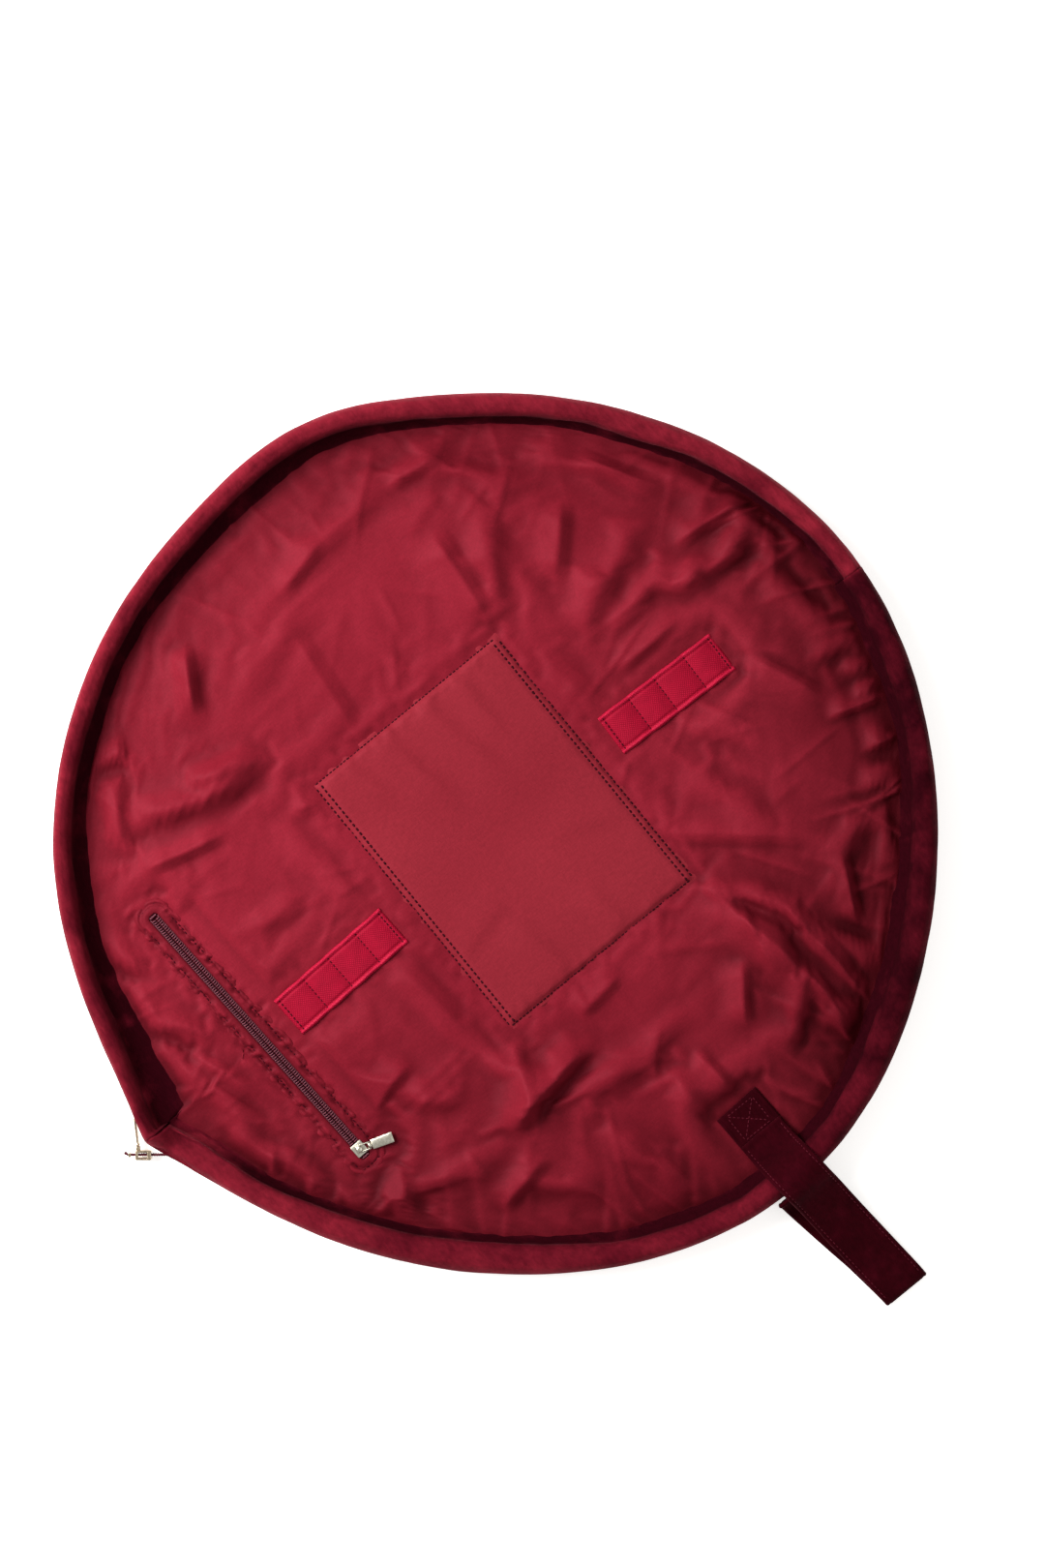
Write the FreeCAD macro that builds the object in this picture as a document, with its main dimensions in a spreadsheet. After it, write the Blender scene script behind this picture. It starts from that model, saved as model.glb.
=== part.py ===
import FreeCAD, Part
import math
import os
import Sketcher

# Round velvet bag, opened out flat into a shallow tray.
# Millimetres, +Z up, floor at Z 0. The origin is on the floor under the middle of the centre panel.
# X runs along the fold axis: zip-end corner at -X, side seam at +X. The carry loop points to -Y.

os.makedirs("parts", exist_ok=True)
doc = FreeCAD.newDocument("round_bag")
vec = FreeCAD.Vector

SIZES = [
    ("bag_radius", 254.0),
    ("velvet", 1.5),
    ("wadding_thick", 3.0),
    ("lining_thick", 0.6),
    ("lip_low", 10.0),
    ("lip_top", 28.0),
    ("lip_wide", 13.0),
    ("wall_inset", 3.0),
    ("panel_long", 187.0),
    ("panel_wide", 143.0),
    ("panel_thick", 0.6),
    ("board_long", 175.0),
    ("board_wide", 131.0),
    ("board_thick", 1.4),
    ("elastic_wide", 25.0),
    ("elastic_long", 82.0),
    ("elastic_thick", 1.2),
    ("elastic_rise", 2.6),
    ("tape_thick", 0.6),
    ("zip_long", 188.0),
    ("slit_wide", 9.4),
    ("pocket_tape_wide", 12.0),
    ("pocket_deep", 100.0),
    ("coil_half", 2.3),
    ("coil_high", 1.6),
    ("coil_gap", 0.9),
    ("slider_long", 8.0),
    ("slider_wide", 7.6),
    ("pull_long", 19.2),
    ("pull_wide", 6.7),
    ("pull_thick", 1.4),
    ("closure_tape_high", 8.5),
    ("closure_coil_wide", 1.6),
    ("closure_coil_high", 2.6),
    ("strap_wide", 30.0),
    ("strap_thick", 2.2),
]
sheet = doc.addObject("Spreadsheet::Sheet", "Sizes")
for row, (alias, value) in enumerate(SIZES, start=1):
    sheet.set("A%d" % row, alias)
    sheet.set("B%d" % row, str(value))
    sheet.setAlias("B%d" % row, alias)
doc.recompute()
SIZE = dict(SIZES)

NODES = []


def keep(thing, name):
    """Mark a finished document object as one piece of the bag."""
    thing.Label = name
    NODES.append((thing, name))
    return thing


# ---------------------------------------------------------------- outline of the bag
CENTRE = (-3.0, 3.0)
SEAM_ANGLE = -3.4
CORNER_ANGLE = 182.3
# Soft bulges of the outline: angle, height, half width in degrees.
BULGES = [(0.0, 8.0, 20.0), (76.0, 8.0, 10.0), (145.0, 3.0, 16.0), (272.0, 16.0, 22.0)]
CORNER_REACH = 19.0
CORNER_SPREAD = 10.0


def turn_between(angle, other):
    """Signed turn from other to angle, within half a turn."""
    return (angle - other + 180.0) % 360.0 - 180.0


def outline_radius(angle):
    """Distance from the disc centre to the outer edge of the lip."""
    radius = SIZE["bag_radius"]
    for middle, height, spread in BULGES:
        radius += height * math.exp(-0.5 * (turn_between(angle, middle) / spread) ** 2)
    radius += CORNER_REACH * math.exp(-abs(turn_between(angle, CORNER_ANGLE)) / CORNER_SPREAD)
    return radius


def edge_point(angle, inset):
    """Point at a given inset from the outer edge."""
    reach = outline_radius(angle) - inset
    turn = math.radians(angle)
    return vec(CENTRE[0] + reach * math.cos(turn), CENTRE[1] + reach * math.sin(turn), 0)


def edge_arcs(first, last, inset, count):
    """Chain of three-point arcs that follows the outline."""
    arcs = []
    step = (last - first) / count
    for index in range(count):
        start = first + step * index
        start_point = edge_point(start, inset)
        middle_point = edge_point(start + 0.5 * step, inset)
        end_point = edge_point(start + step, inset)
        arcs.append(Part.Arc(start_point, middle_point, end_point))
    return arcs


def disc_curves(inset):
    """Closed outline of the whole bag, one run from the seam to the corner and one back."""
    near = edge_arcs(SEAM_ANGLE, CORNER_ANGLE, inset, 12)
    far = edge_arcs(CORNER_ANGLE, SEAM_ANGLE + 360.0, inset, 12)
    return near + far


def band_curves(first, last, outer, inner):
    """Closed outline of a curved strip between two insets."""
    out = edge_arcs(first, last, outer, 12)
    back = edge_arcs(last, first, inner, 12)
    end = Part.LineSegment(edge_point(last, outer), edge_point(last, inner))
    start = Part.LineSegment(edge_point(first, inner), edge_point(first, outer))
    return out + [end] + back + [start]


def plane_of(body, role):
    """One of the body's own origin planes."""
    for feature in body.Origin.OriginFeatures:
        if feature.Role == role:
            return feature
    raise ValueError(role)


def add_sketch(body, name, curves, height=None):
    """Sketch on the body's floor plane, lifted by a spreadsheet expression."""
    sketch = body.newObject("Sketcher::SketchObject", name)
    sketch.AttachmentSupport = (plane_of(body, "XY_Plane"), [""])
    sketch.MapMode = "FlatFace"
    if height:
        sketch.setExpression("AttachmentOffset.Base.z", height)
    for curve in curves:
        sketch.addGeometry(curve, False)
    return sketch


def add_pad(body, name, curves, height, length):
    """Pad of a floor-plane sketch."""
    sketch = add_sketch(body, name + "_sketch", curves, height)
    pad = body.newObject("PartDesign::Pad", name + "_pad")
    pad.Profile = sketch
    pad.setExpression("Length", length)
    sketch.Visibility = False
    body.Tip = pad
    return pad


def add_pocket(body, name, curves, height, length):
    """Pocket that cuts upward from a floor-plane sketch."""
    sketch = add_sketch(body, name + "_sketch", curves, height)
    pocket = body.newObject("PartDesign::Pocket", name + "_pocket")
    pocket.Profile = sketch
    pocket.setExpression("Length", length)
    pocket.Reversed = True
    sketch.Visibility = False
    body.Tip = pocket
    return pocket


def add_body(name):
    """Empty PartDesign body."""
    return doc.addObject("PartDesign::Body", name)


def rectangle(low_x, low_y, high_x, high_y, place=None):
    """Four lines of a rectangle, turned and shifted by a placement if one is given."""
    corners = [vec(low_x, low_y, 0), vec(high_x, low_y, 0), vec(high_x, high_y, 0), vec(low_x, high_y, 0)]
    if place:
        corners = [place.multVec(corner) for corner in corners]
    return [Part.LineSegment(corners[i], corners[(i + 1) % 4]) for i in range(4)]


def make_box(name, length, width, height, low):
    """Box with its three sizes and its low corner bound to expressions."""
    box = doc.addObject("Part::Box", name)
    box.setExpression("Length", length)
    box.setExpression("Width", width)
    box.setExpression("Height", height)
    box.setExpression("Placement.Base.x", low[0])
    box.setExpression("Placement.Base.y", low[1])
    box.setExpression("Placement.Base.z", low[2])
    return box


def make_cut(name, base, tool):
    """Base with the tool taken away."""
    cut = doc.addObject("Part::Cut", name)
    cut.Base = base
    cut.Tool = tool
    return cut


def make_fuse(name, shapes):
    """Several solids joined into one."""
    fuse = doc.addObject("Part::MultiFuse", name)
    fuse.Shapes = shapes
    return fuse


# Stack heights, as expressions on the spreadsheet.
VELVET_TOP = "Sizes.velvet"
WADDING_TOP = "Sizes.velvet + Sizes.wadding_thick"
LINING_TOP = WADDING_TOP + " + Sizes.lining_thick"
RECESS_LOW = "Sizes.velvet + 1.2"
POCKET_LOW = WADDING_TOP + " - 2 * Sizes.lining_thick"

# The pocket zip line: middle point and small turn.
POCKET_ZIP = FreeCAD.Placement(vec(-186.0, -2.0, 0), FreeCAD.Rotation(vec(0, 0, 1), 2.4))

# ---------------------------------------------------------------- outer shell
shell_base = add_body("shell_base")
add_pad(shell_base, "base_disc", disc_curves(SIZE["wall_inset"]), None, "Sizes.velvet")
keep(shell_base, "shell_base")

BANDS = {
    "upper": (SEAM_ANGLE, CORNER_ANGLE),
    "lower": (CORNER_ANGLE, SEAM_ANGLE + 360.0),
}
for side, (first, last) in BANDS.items():
    skin = SIZE["velvet"]
    lip = SIZE["lip_wide"]
    wall = SIZE["wall_inset"]

    # Rolled lip: a tube of velvet standing on a short wall.
    band = add_body("rim_band_" + side)
    lip_high = "Sizes.lip_top - Sizes.lip_low"
    add_pad(band, "lip_" + side, band_curves(first, last, 0.0, lip), "Sizes.lip_low", lip_high)
    wall_high = "Sizes.lip_low - Sizes.velvet"
    add_pad(band, "wall_" + side, band_curves(first, last, wall, wall + skin), VELVET_TOP, wall_high)
    add_pocket(
        band,
        "lip_hollow_" + side,
        band_curves(first, last, skin, lip - skin),
        "Sizes.lip_low + Sizes.velvet",
        "Sizes.lip_top - Sizes.lip_low - 2 * Sizes.velvet",
    )
    keep(band, "rim_band_" + side)

    # Soft filling inside the lip.
    filler = add_body("rim_filler_" + side)
    add_pad(
        filler,
        "filling_" + side,
        band_curves(first, last, skin, lip - skin),
        "Sizes.lip_low + Sizes.velvet",
        "Sizes.lip_top - Sizes.lip_low - 2 * Sizes.velvet",
    )
    keep(filler, "rim_filler_" + side)

    # Closure zip half: a tape hanging under the lip with its coil along the low edge.
    tape_in = wall - 0.4
    tape_out = tape_in - 0.8
    tape = add_body("closure_tape_" + side)
    tape_low = "Sizes.lip_low - Sizes.closure_tape_high"
    tape_ends = (first + 1.5, last - 1.5)
    add_pad(
        tape,
        "hanging_tape_" + side,
        band_curves(tape_ends[0], tape_ends[1], tape_out, tape_in),
        tape_low,
        "Sizes.closure_tape_high",
    )
    keep(tape, "closure_tape_" + side)
    coil = add_body("closure_coil_" + side)
    coil_out = tape_out - SIZE["closure_coil_wide"]
    add_pad(
        coil,
        "hanging_coil_" + side,
        band_curves(tape_ends[0], tape_ends[1], coil_out, tape_out),
        tape_low,
        "Sizes.closure_coil_high",
    )
    keep(coil, "closure_coil_" + side)

# ---------------------------------------------------------------- soft layers of the floor
wadding = add_body("wadding")
add_pad(wadding, "wadding_disc", disc_curves(SIZE["wall_inset"] + 2.0), VELVET_TOP, "Sizes.wadding_thick")
half_zip = 0.5 * SIZE["zip_long"]
tape_wide = SIZE["pocket_tape_wide"]
recess = rectangle(-tape_wide - 0.2, -half_zip - 6, tape_wide + SIZE["pocket_deep"], half_zip + 6, POCKET_ZIP)
add_pocket(wadding, "pocket_recess", recess, POCKET_LOW, "3 * Sizes.lining_thick")
groove = rectangle(-5.0, -half_zip - 4, 5.0, half_zip + 4, POCKET_ZIP)
add_pocket(wadding, "slider_groove", groove, RECESS_LOW, "Sizes.wadding_thick")
keep(wadding, "wadding")

lining = add_body("lining")
add_pad(lining, "lining_disc", disc_curves(SIZE["wall_inset"] + 2.0), WADDING_TOP, "Sizes.lining_thick")
half_slit = 0.5 * SIZE["slit_wide"]
slit = rectangle(-half_slit, -half_zip, half_slit, half_zip, POCKET_ZIP)
add_pocket(lining, "zip_slit", slit, POCKET_LOW, "4 * Sizes.lining_thick")
keep(lining, "lining")

board = make_box(
    "base_stiffener",
    "Sizes.board_wide",
    "Sizes.board_long",
    "Sizes.board_thick",
    ("-Sizes.board_wide / 2", "-Sizes.board_long / 2", LINING_TOP),
)
keep(board, "base_stiffener")

panel_block = make_box(
    "panel_block",
    "Sizes.panel_wide",
    "Sizes.panel_long",
    "Sizes.board_thick + Sizes.panel_thick",
    ("-Sizes.panel_wide / 2", "-Sizes.panel_long / 2", LINING_TOP),
)
panel_hollow = make_box(
    "panel_hollow",
    "Sizes.board_wide + 0.4",
    "Sizes.board_long + 0.4",
    "Sizes.board_thick",
    ("-Sizes.board_wide / 2 - 0.2", "-Sizes.board_long / 2 - 0.2", LINING_TOP),
)
keep(make_cut("centre_panel", panel_block, panel_hollow), "centre_panel")

# ---------------------------------------------------------------- elastic holding strips
ELASTICS = {
    "upper": (vec(125.0, 2.0, 0), -2.0),
    "lower": (vec(-125.0, -3.0, 0), 2.0),
}
# Stitch lines across the strip, as shares of its length.
STITCH_SHARES = [0.0, 0.05, 0.27, 0.49, 0.74, 0.95, 1.0]


def elastic_curves(length, thick, rise):
    """Side profile of the strip: it lies flat at each stitch line and arches between them."""
    low = []
    high = []
    for first, last in zip(STITCH_SHARES[:-1], STITCH_SHARES[1:]):
        start = (first - 0.5) * length
        end = (last - 0.5) * length
        middle = 0.5 * (start + end)
        is_end_tab = first == 0.0 or last == 1.0
        if is_end_tab:
            low.append(Part.LineSegment(vec(start, 0, 0), vec(end, 0, 0)))
            high.append(Part.LineSegment(vec(start, thick, 0), vec(end, thick, 0)))
        else:
            low.append(Part.Arc(vec(start, 0, 0), vec(middle, rise, 0), vec(end, 0, 0)))
            high.append(Part.Arc(vec(start, thick, 0), vec(middle, rise + thick, 0), vec(end, thick, 0)))
    half = 0.5 * length
    left = Part.LineSegment(vec(-half, 0, 0), vec(-half, thick, 0))
    right = Part.LineSegment(vec(half, 0, 0), vec(half, thick, 0))
    return low + high + [left, right]


for side, (middle, turn) in ELASTICS.items():
    strip = add_body("elastic_strip_" + side)
    sketch = strip.newObject("Sketcher::SketchObject", "elastic_sketch_" + side)
    sketch.AttachmentSupport = (plane_of(strip, "XZ_Plane"), [""])
    sketch.MapMode = "FlatFace"
    for curve in elastic_curves(SIZE["elastic_long"], SIZE["elastic_thick"], SIZE["elastic_rise"]):
        sketch.addGeometry(curve, False)
    pad = strip.newObject("PartDesign::Pad", "elastic_pad_" + side)
    pad.Profile = sketch
    pad.setExpression("Length", "Sizes.elastic_wide")
    pad.Midplane = True
    strip.Tip = pad
    strip.Placement = FreeCAD.Placement(middle, FreeCAD.Rotation(vec(0, 0, 1), turn))
    strip.setExpression("Placement.Base.z", LINING_TOP)
    keep(strip, "elastic_strip_" + side)

# ---------------------------------------------------------------- inner pocket and its zip
pocket = add_body("pocket_bag")
pocket_far = tape_wide + SIZE["pocket_deep"] - 2
bag_low = rectangle(tape_wide + 0.1, -half_zip - 4, pocket_far, half_zip + 4, POCKET_ZIP)
add_pad(pocket, "pocket_sheets", bag_low, POCKET_LOW, "2 * Sizes.lining_thick")
keep(pocket, "pocket_bag")

half_gap = 0.5 * SIZE["coil_gap"]
coil_out = half_gap + SIZE["coil_half"]
for side, sign in (("near", -1), ("far", 1)):
    tape = add_body("pocket_tape_" + side)
    inner = sign * half_gap
    outer = sign * tape_wide
    low_x = min(inner, outer)
    high_x = max(inner, outer)
    flat = rectangle(low_x, -half_zip - 3, high_x, half_zip + 3, POCKET_ZIP)
    add_pad(tape, "flat_tape_" + side, flat, WADDING_TOP + " - Sizes.tape_thick", "Sizes.tape_thick")
    keep(tape, "pocket_tape_" + side)

    coil = add_body("pocket_coil_" + side)
    low_x = min(inner, sign * coil_out)
    high_x = max(inner, sign * coil_out)
    row = rectangle(low_x, -half_zip + 1, high_x, half_zip - 1, POCKET_ZIP)
    add_pad(coil, "coil_row_" + side, row, WADDING_TOP, "Sizes.coil_high")
    keep(coil, "pocket_coil_" + side)


def place_on_zip(thing):
    """Put a piece drawn about its own zip line onto the pocket zip."""
    thing.Placement = POCKET_ZIP
    return thing


COIL_BASE = WADDING_TOP
STOPS = (("pocket_stop_lower", "-Sizes.zip_long / 2"), ("pocket_stop_upper", "Sizes.zip_long / 2 - 1.0"))
for name, low_y in STOPS:
    foot = make_box(name + "_foot", "5.0", "1.0", "1.0", ("-2.5", low_y, COIL_BASE))
    crown = make_box(name + "_crown", "4.0", "1.0", "Sizes.coil_high", ("-2.0", low_y, COIL_BASE + " + 0.2"))
    keep(place_on_zip(make_fuse(name, [foot, crown])), name)

# Pocket slider: two plates joined by a thin post that runs in the gap between the coil rows.
SLIDER_Y = -half_zip + 2.0
PLATE = "0.9"
slider_low = WADDING_TOP + " - Sizes.tape_thick - 1.0"
coil_roof = COIL_BASE + " + Sizes.coil_high + 0.25"
low_plate = make_box(
    "slider_low_plate",
    "Sizes.slider_wide",
    "Sizes.slider_long",
    "0.7",
    ("-Sizes.slider_wide / 2", "%g" % SLIDER_Y, slider_low),
)
top_plate = make_box(
    "slider_top_plate",
    "Sizes.slider_wide",
    "Sizes.slider_long",
    PLATE,
    ("-Sizes.slider_wide / 2", "%g" % SLIDER_Y, coil_roof),
)
post = make_box(
    "slider_post",
    "0.4",
    "2.4",
    "Sizes.coil_high + Sizes.tape_thick + 1.6",
    ("-0.2", "%g + Sizes.slider_long - 3" % SLIDER_Y, slider_low),
)
flanges = []
for side, low_x in (("near", "-Sizes.slider_wide / 2"), ("far", "Sizes.slider_wide / 2 - 0.7")):
    flange = make_box(
        "slider_flange_" + side,
        "0.7",
        "Sizes.slider_long",
        "Sizes.coil_high - 0.4",
        (low_x, "%g" % SLIDER_Y, COIL_BASE + " + 0.8"),
    )
    flanges.append(flange)
plate_top = coil_roof + " + " + PLATE


def make_round(name, radius, height, low):
    """Upright cylinder with its sizes and its foot bound to expressions."""
    cylinder = doc.addObject("Part::Cylinder", name)
    cylinder.setExpression("Radius", radius)
    cylinder.setExpression("Height", height)
    cylinder.setExpression("Placement.Base.x", low[0])
    cylinder.setExpression("Placement.Base.y", low[1])
    cylinder.setExpression("Placement.Base.z", low[2])
    return cylinder


POST_Y = SLIDER_Y + 4.0
swivel_post = make_round("swivel_post", "0.9", "1.7", ("0", "%g" % POST_Y, plate_top + " - 0.1"))
swivel_cap = make_round("swivel_cap", "1.9", "0.6", ("0", "%g" % POST_Y, plate_top + " + 1.4"))
slider = make_fuse("pocket_slider", [low_plate, top_plate, post, swivel_post, swivel_cap] + flanges)
keep(place_on_zip(slider), "pocket_slider")

# Pull linkage: a square ring swivels on the post, and a domed bar tips up about the ring's far side.
PULL_PIVOT = POCKET_ZIP.multVec(vec(0, POST_Y, 0))
PULL_TURN = -19.0
ring_low = plate_top + " + 0.3"


def place_pull(thing):
    """Put a piece drawn about the swivel post onto the bag."""
    thing.Placement = FreeCAD.Placement(PULL_PIVOT, FreeCAD.Rotation(vec(0, 0, 1), PULL_TURN))
    return thing


ring_block = make_box("ring_block", "9.3", "5.0", "0.8", ("-2.2", "-2.5", ring_low))
ring_hole = make_box("ring_hole", "7.5", "3.4", "2.0", ("-1.2", "-1.7", ring_low + " - 0.5"))
keep(place_pull(make_cut("pocket_ring", ring_block, ring_hole)), "pocket_ring")

# The knuckle wraps the ring's far side, with room to turn about it.
knuckle_block = make_box("knuckle_block", "2.8", "3.0", "2.6", ("5.4", "-1.5", ring_low + " - 0.9"))
knuckle_hole = make_box("knuckle_hole", "1.5", "4.0", "1.5", ("5.95", "-2.0", ring_low + " - 0.35"))
knuckle = make_cut("pull_knuckle", knuckle_block, knuckle_hole)
bar = make_box(
    "pull_bar",
    "Sizes.pull_long - 6",
    "Sizes.pull_wide - 0.5",
    "Sizes.pull_thick",
    ("7.9", "-Sizes.pull_wide / 2 + 0.25", ring_low + " - 0.3"),
)
keep(place_pull(make_fuse("pocket_pull", [knuckle, bar])), "pocket_pull")

# ---------------------------------------------------------------- closure zip end at the corner
# Drawn along local X, then turned so that the tail follows the lower band out of the corner.
TAIL = FreeCAD.Placement(vec(-282.0, -13.0, 0), FreeCAD.Rotation(vec(0, 0, 1), -39.3))


def place_on_tail(thing):
    """Put a piece drawn about the closure tail onto the corner."""
    thing.Placement = TAIL
    return thing


tail_tape = make_box("tail_tape", "26", "0.8", "5.4", ("-11.5", "-0.4", "2.4"))
tail_coil = make_box("tail_coil", "22.0", "2.0", "2.6", ("-7.5", "-1.0", "3.6"))
keep(place_on_tail(make_fuse("closure_tail", [tail_tape, tail_coil])), "closure_tail")

stop_block = make_box("closure_stop_block", "1.4", "2.6", "3.6", ("-9.0", "-1.3", "4.8"))
stop_slot = make_box("closure_stop_slot", "3.0", "0.8", "5.4", ("-10.0", "-0.4", "2.4"))
keep(place_on_tail(make_cut("closure_stop", stop_block, stop_slot)), "closure_stop")

body_block = make_box("closure_slider_block", "9.5", "5.4", "7.2", ("-5.0", "-2.7", "2.0"))
body_room = make_box("closure_slider_room", "12", "2.8", "6.3", ("-6.0", "-1.4", "1.8"))
body_clip = make_cut("closure_slider_clip", body_block, body_room)
eye_block = make_box("closure_eye_block", "3.0", "2.2", "3.4", ("-5.0", "2.6", "3.8"))
closure_slider = make_fuse("closure_slider", [body_clip, eye_block])
keep(place_on_tail(closure_slider), "closure_slider")

# Closure pull: a flat bar on edge, hinged on an upright pin behind the slider.
PIN = TAIL.multVec(vec(-3.5, 5.9, 0))


def place_closure_pull(thing):
    """Put a piece drawn about the upright pin onto the corner."""
    thing.Placement = FreeCAD.Placement(PIN, FreeCAD.Rotation(vec(0, 0, 1), -39.3 + 97.0))
    return thing


closure_bar = make_box("closure_bar", "15.5", "1.5", "6.0", ("0.4", "-0.75", "2.5"))
closure_knuckle = doc.addObject("Part::Cylinder", "closure_knuckle")
closure_knuckle.Radius = 0.9
closure_knuckle.Height = 6.0
closure_knuckle.Placement.Base = vec(0, 0, 2.5)
keep(place_closure_pull(make_fuse("closure_pull", [closure_bar, closure_knuckle])), "closure_pull")

# ---------------------------------------------------------------- carry loop
LOOP_X = 9.0
LIP_EDGE_Y = edge_point(271.0, 0.0).y


def ribbon_points(line, thick):
    """Outline of a strap of even thickness about a centre line of (y, z) points."""
    left = []
    right = []
    for index, (y, z) in enumerate(line):
        before = line[max(index - 1, 0)]
        after = line[min(index + 1, len(line) - 1)]
        first = vec(y - before[0], z - before[1], 0)
        second = vec(after[0] - y, after[1] - z, 0)
        if first.Length == 0:
            first = second
        if second.Length == 0:
            second = first
        first.normalize()
        second.normalize()
        middle = first + second
        middle.normalize()
        spread = 0.5 * thick / max(middle.dot(first), 0.3)
        left.append(vec(y - middle.y * spread, z + middle.x * spread, 0))
        right.append(vec(y + middle.y * spread, z - middle.x * spread, 0))
    return left + right[::-1]


def make_ribbon(name, line, middle_x):
    """Strap piece: side profile in the YZ plane, padded across its width."""
    body = add_body(name)
    sketch = body.newObject("Sketcher::SketchObject", name + "_sketch")
    sketch.AttachmentSupport = (plane_of(body, "YZ_Plane"), [""])
    sketch.MapMode = "FlatFace"
    points = ribbon_points(line, SIZE["strap_thick"])
    for index, point in enumerate(points):
        sketch.addGeometry(Part.LineSegment(point, points[(index + 1) % len(points)]), False)
    pad = body.newObject("PartDesign::Pad", name + "_pad")
    pad.Profile = sketch
    pad.setExpression("Length", "Sizes.strap_wide")
    pad.Midplane = True
    body.Tip = pad
    body.Placement.Base = vec(middle_x, 0, 0)
    return keep(body, name)


HALF = 0.5 * SIZE["strap_thick"]
lining_top = SIZE["velvet"] + SIZE["wadding_thick"] + SIZE["lining_thick"]
over_lip = SIZE["lip_top"] + HALF + 0.1
lip_inner_y = LIP_EDGE_Y + SIZE["lip_wide"]
inner_line = [
    (-209.0, lining_top + HALF + 0.1),
    (-232.0, lining_top + HALF + 0.1),
    (lip_inner_y + 4.4, SIZE["lip_top"] - 4.0),
    (lip_inner_y + 2.0, over_lip + 0.2),
    (LIP_EDGE_Y + 1.5, over_lip + 0.2),
]
make_ribbon("loop_inner_tab", inner_line, 6.0)

tab_y = LIP_EDGE_Y - HALF - 1.6
make_ribbon("loop_outer_tab", [(tab_y, 24.0), (tab_y, 13.0)], 5.0)

far_y = -356.0
loop_line = [
    (LIP_EDGE_Y - 1.3, over_lip + 0.3),
    (LIP_EDGE_Y - 6.5, SIZE["lip_top"] - 4.0),
    (LIP_EDGE_Y - 22.0, 15.5),
    (LIP_EDGE_Y - 62.0, 8.2),
    (far_y + 3.0, 5.2),
    (far_y, 3.4),
    (far_y + 3.0, 1.3),
    (LIP_EDGE_Y - 14.0, 1.3),
    (LIP_EDGE_Y - 5.0, 4.0),
    (tab_y - 0.3, 11.0),
]
make_ribbon("carry_loop", loop_line, LOOP_X)

# ---------------------------------------------------------------- checks and export
doc.recompute()
for thing, name in NODES:
    if "Invalid" in thing.State or "Error" in thing.State:
        raise RuntimeError("%s did not compute" % name)
    if thing.Shape.isNull() or not thing.Shape.isValid():
        raise RuntimeError("%s has no valid shape" % name)
    if len(thing.Shape.Solids) != 1:
        raise RuntimeError("%s has %d solids" % (name, len(thing.Shape.Solids)))
    thing.Shape.exportStep("parts/%s.step" % name)
    box = thing.Shape.BoundBox
    print("%-22s %9.1f mm3  z %.2f to %.2f" % (name, thing.Shape.Volume, box.ZMin, box.ZMax))
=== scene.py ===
import math

import bpy
import numpy as np
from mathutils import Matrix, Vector


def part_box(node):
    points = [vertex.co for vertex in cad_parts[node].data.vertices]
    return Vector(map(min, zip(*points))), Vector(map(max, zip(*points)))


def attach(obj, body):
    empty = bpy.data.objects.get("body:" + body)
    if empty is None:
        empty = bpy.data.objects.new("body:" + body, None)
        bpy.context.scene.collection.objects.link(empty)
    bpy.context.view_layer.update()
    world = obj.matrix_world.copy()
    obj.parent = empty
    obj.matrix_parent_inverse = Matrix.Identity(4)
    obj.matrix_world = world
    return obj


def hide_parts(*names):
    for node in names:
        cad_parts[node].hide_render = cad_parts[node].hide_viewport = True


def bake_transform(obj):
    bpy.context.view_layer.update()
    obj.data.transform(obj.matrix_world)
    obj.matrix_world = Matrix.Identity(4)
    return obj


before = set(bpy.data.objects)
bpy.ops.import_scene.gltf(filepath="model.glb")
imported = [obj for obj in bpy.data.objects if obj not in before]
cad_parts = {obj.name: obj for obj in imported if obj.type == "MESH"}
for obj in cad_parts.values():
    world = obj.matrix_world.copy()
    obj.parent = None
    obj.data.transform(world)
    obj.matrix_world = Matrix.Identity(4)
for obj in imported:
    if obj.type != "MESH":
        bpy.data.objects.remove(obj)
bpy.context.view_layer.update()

# Lengths below are in millimetres in the CAD frame; MM turns them into metres.
MM = 0.001
scene = bpy.context.scene
rng = np.random.RandomState(7)


# ------------------------------------------------------------------ small maths
def smooth(low, high, x):
    """0 below low, 1 above high, with a soft step between."""
    t = np.clip((np.asarray(x, float) - low) / (high - low), 0.0, 1.0)
    return t * t * (3 - 2 * t)


def bump(x, middle, width):
    """Rounded bump of height 1."""
    return np.exp(-(((np.asarray(x, float) - middle) / width) ** 2))


LATTICE = rng.uniform(-1, 1, (64, 64))


def soft_noise(x, y, scale, shift=0.0):
    """Smooth repeatable noise between about -1 and 1. Features are about scale long."""
    u = np.asarray(x, float) / scale + shift * 7.31 + 100.0
    v = np.asarray(y, float) / scale + shift * 3.77 + 100.0
    i = np.floor(u).astype(int)
    j = np.floor(v).astype(int)
    fu = u - i
    fv = v - j
    fu = fu * fu * fu * (fu * (fu * 6 - 15) + 10)
    fv = fv * fv * fv * (fv * (fv * 6 - 15) + 10)
    i0, i1, j0, j1 = i % 64, (i + 1) % 64, j % 64, (j + 1) % 64
    low = LATTICE[i0, j0] * (1 - fu) + LATTICE[i1, j0] * fu
    high = LATTICE[i0, j1] * (1 - fu) + LATTICE[i1, j1] * fu
    return low * (1 - fv) + high * fv


def turn(degrees):
    """2 by 2 rotation matrix."""
    a = math.radians(degrees)
    return np.array([[math.cos(a), -math.sin(a)], [math.sin(a), math.cos(a)]])


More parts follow.
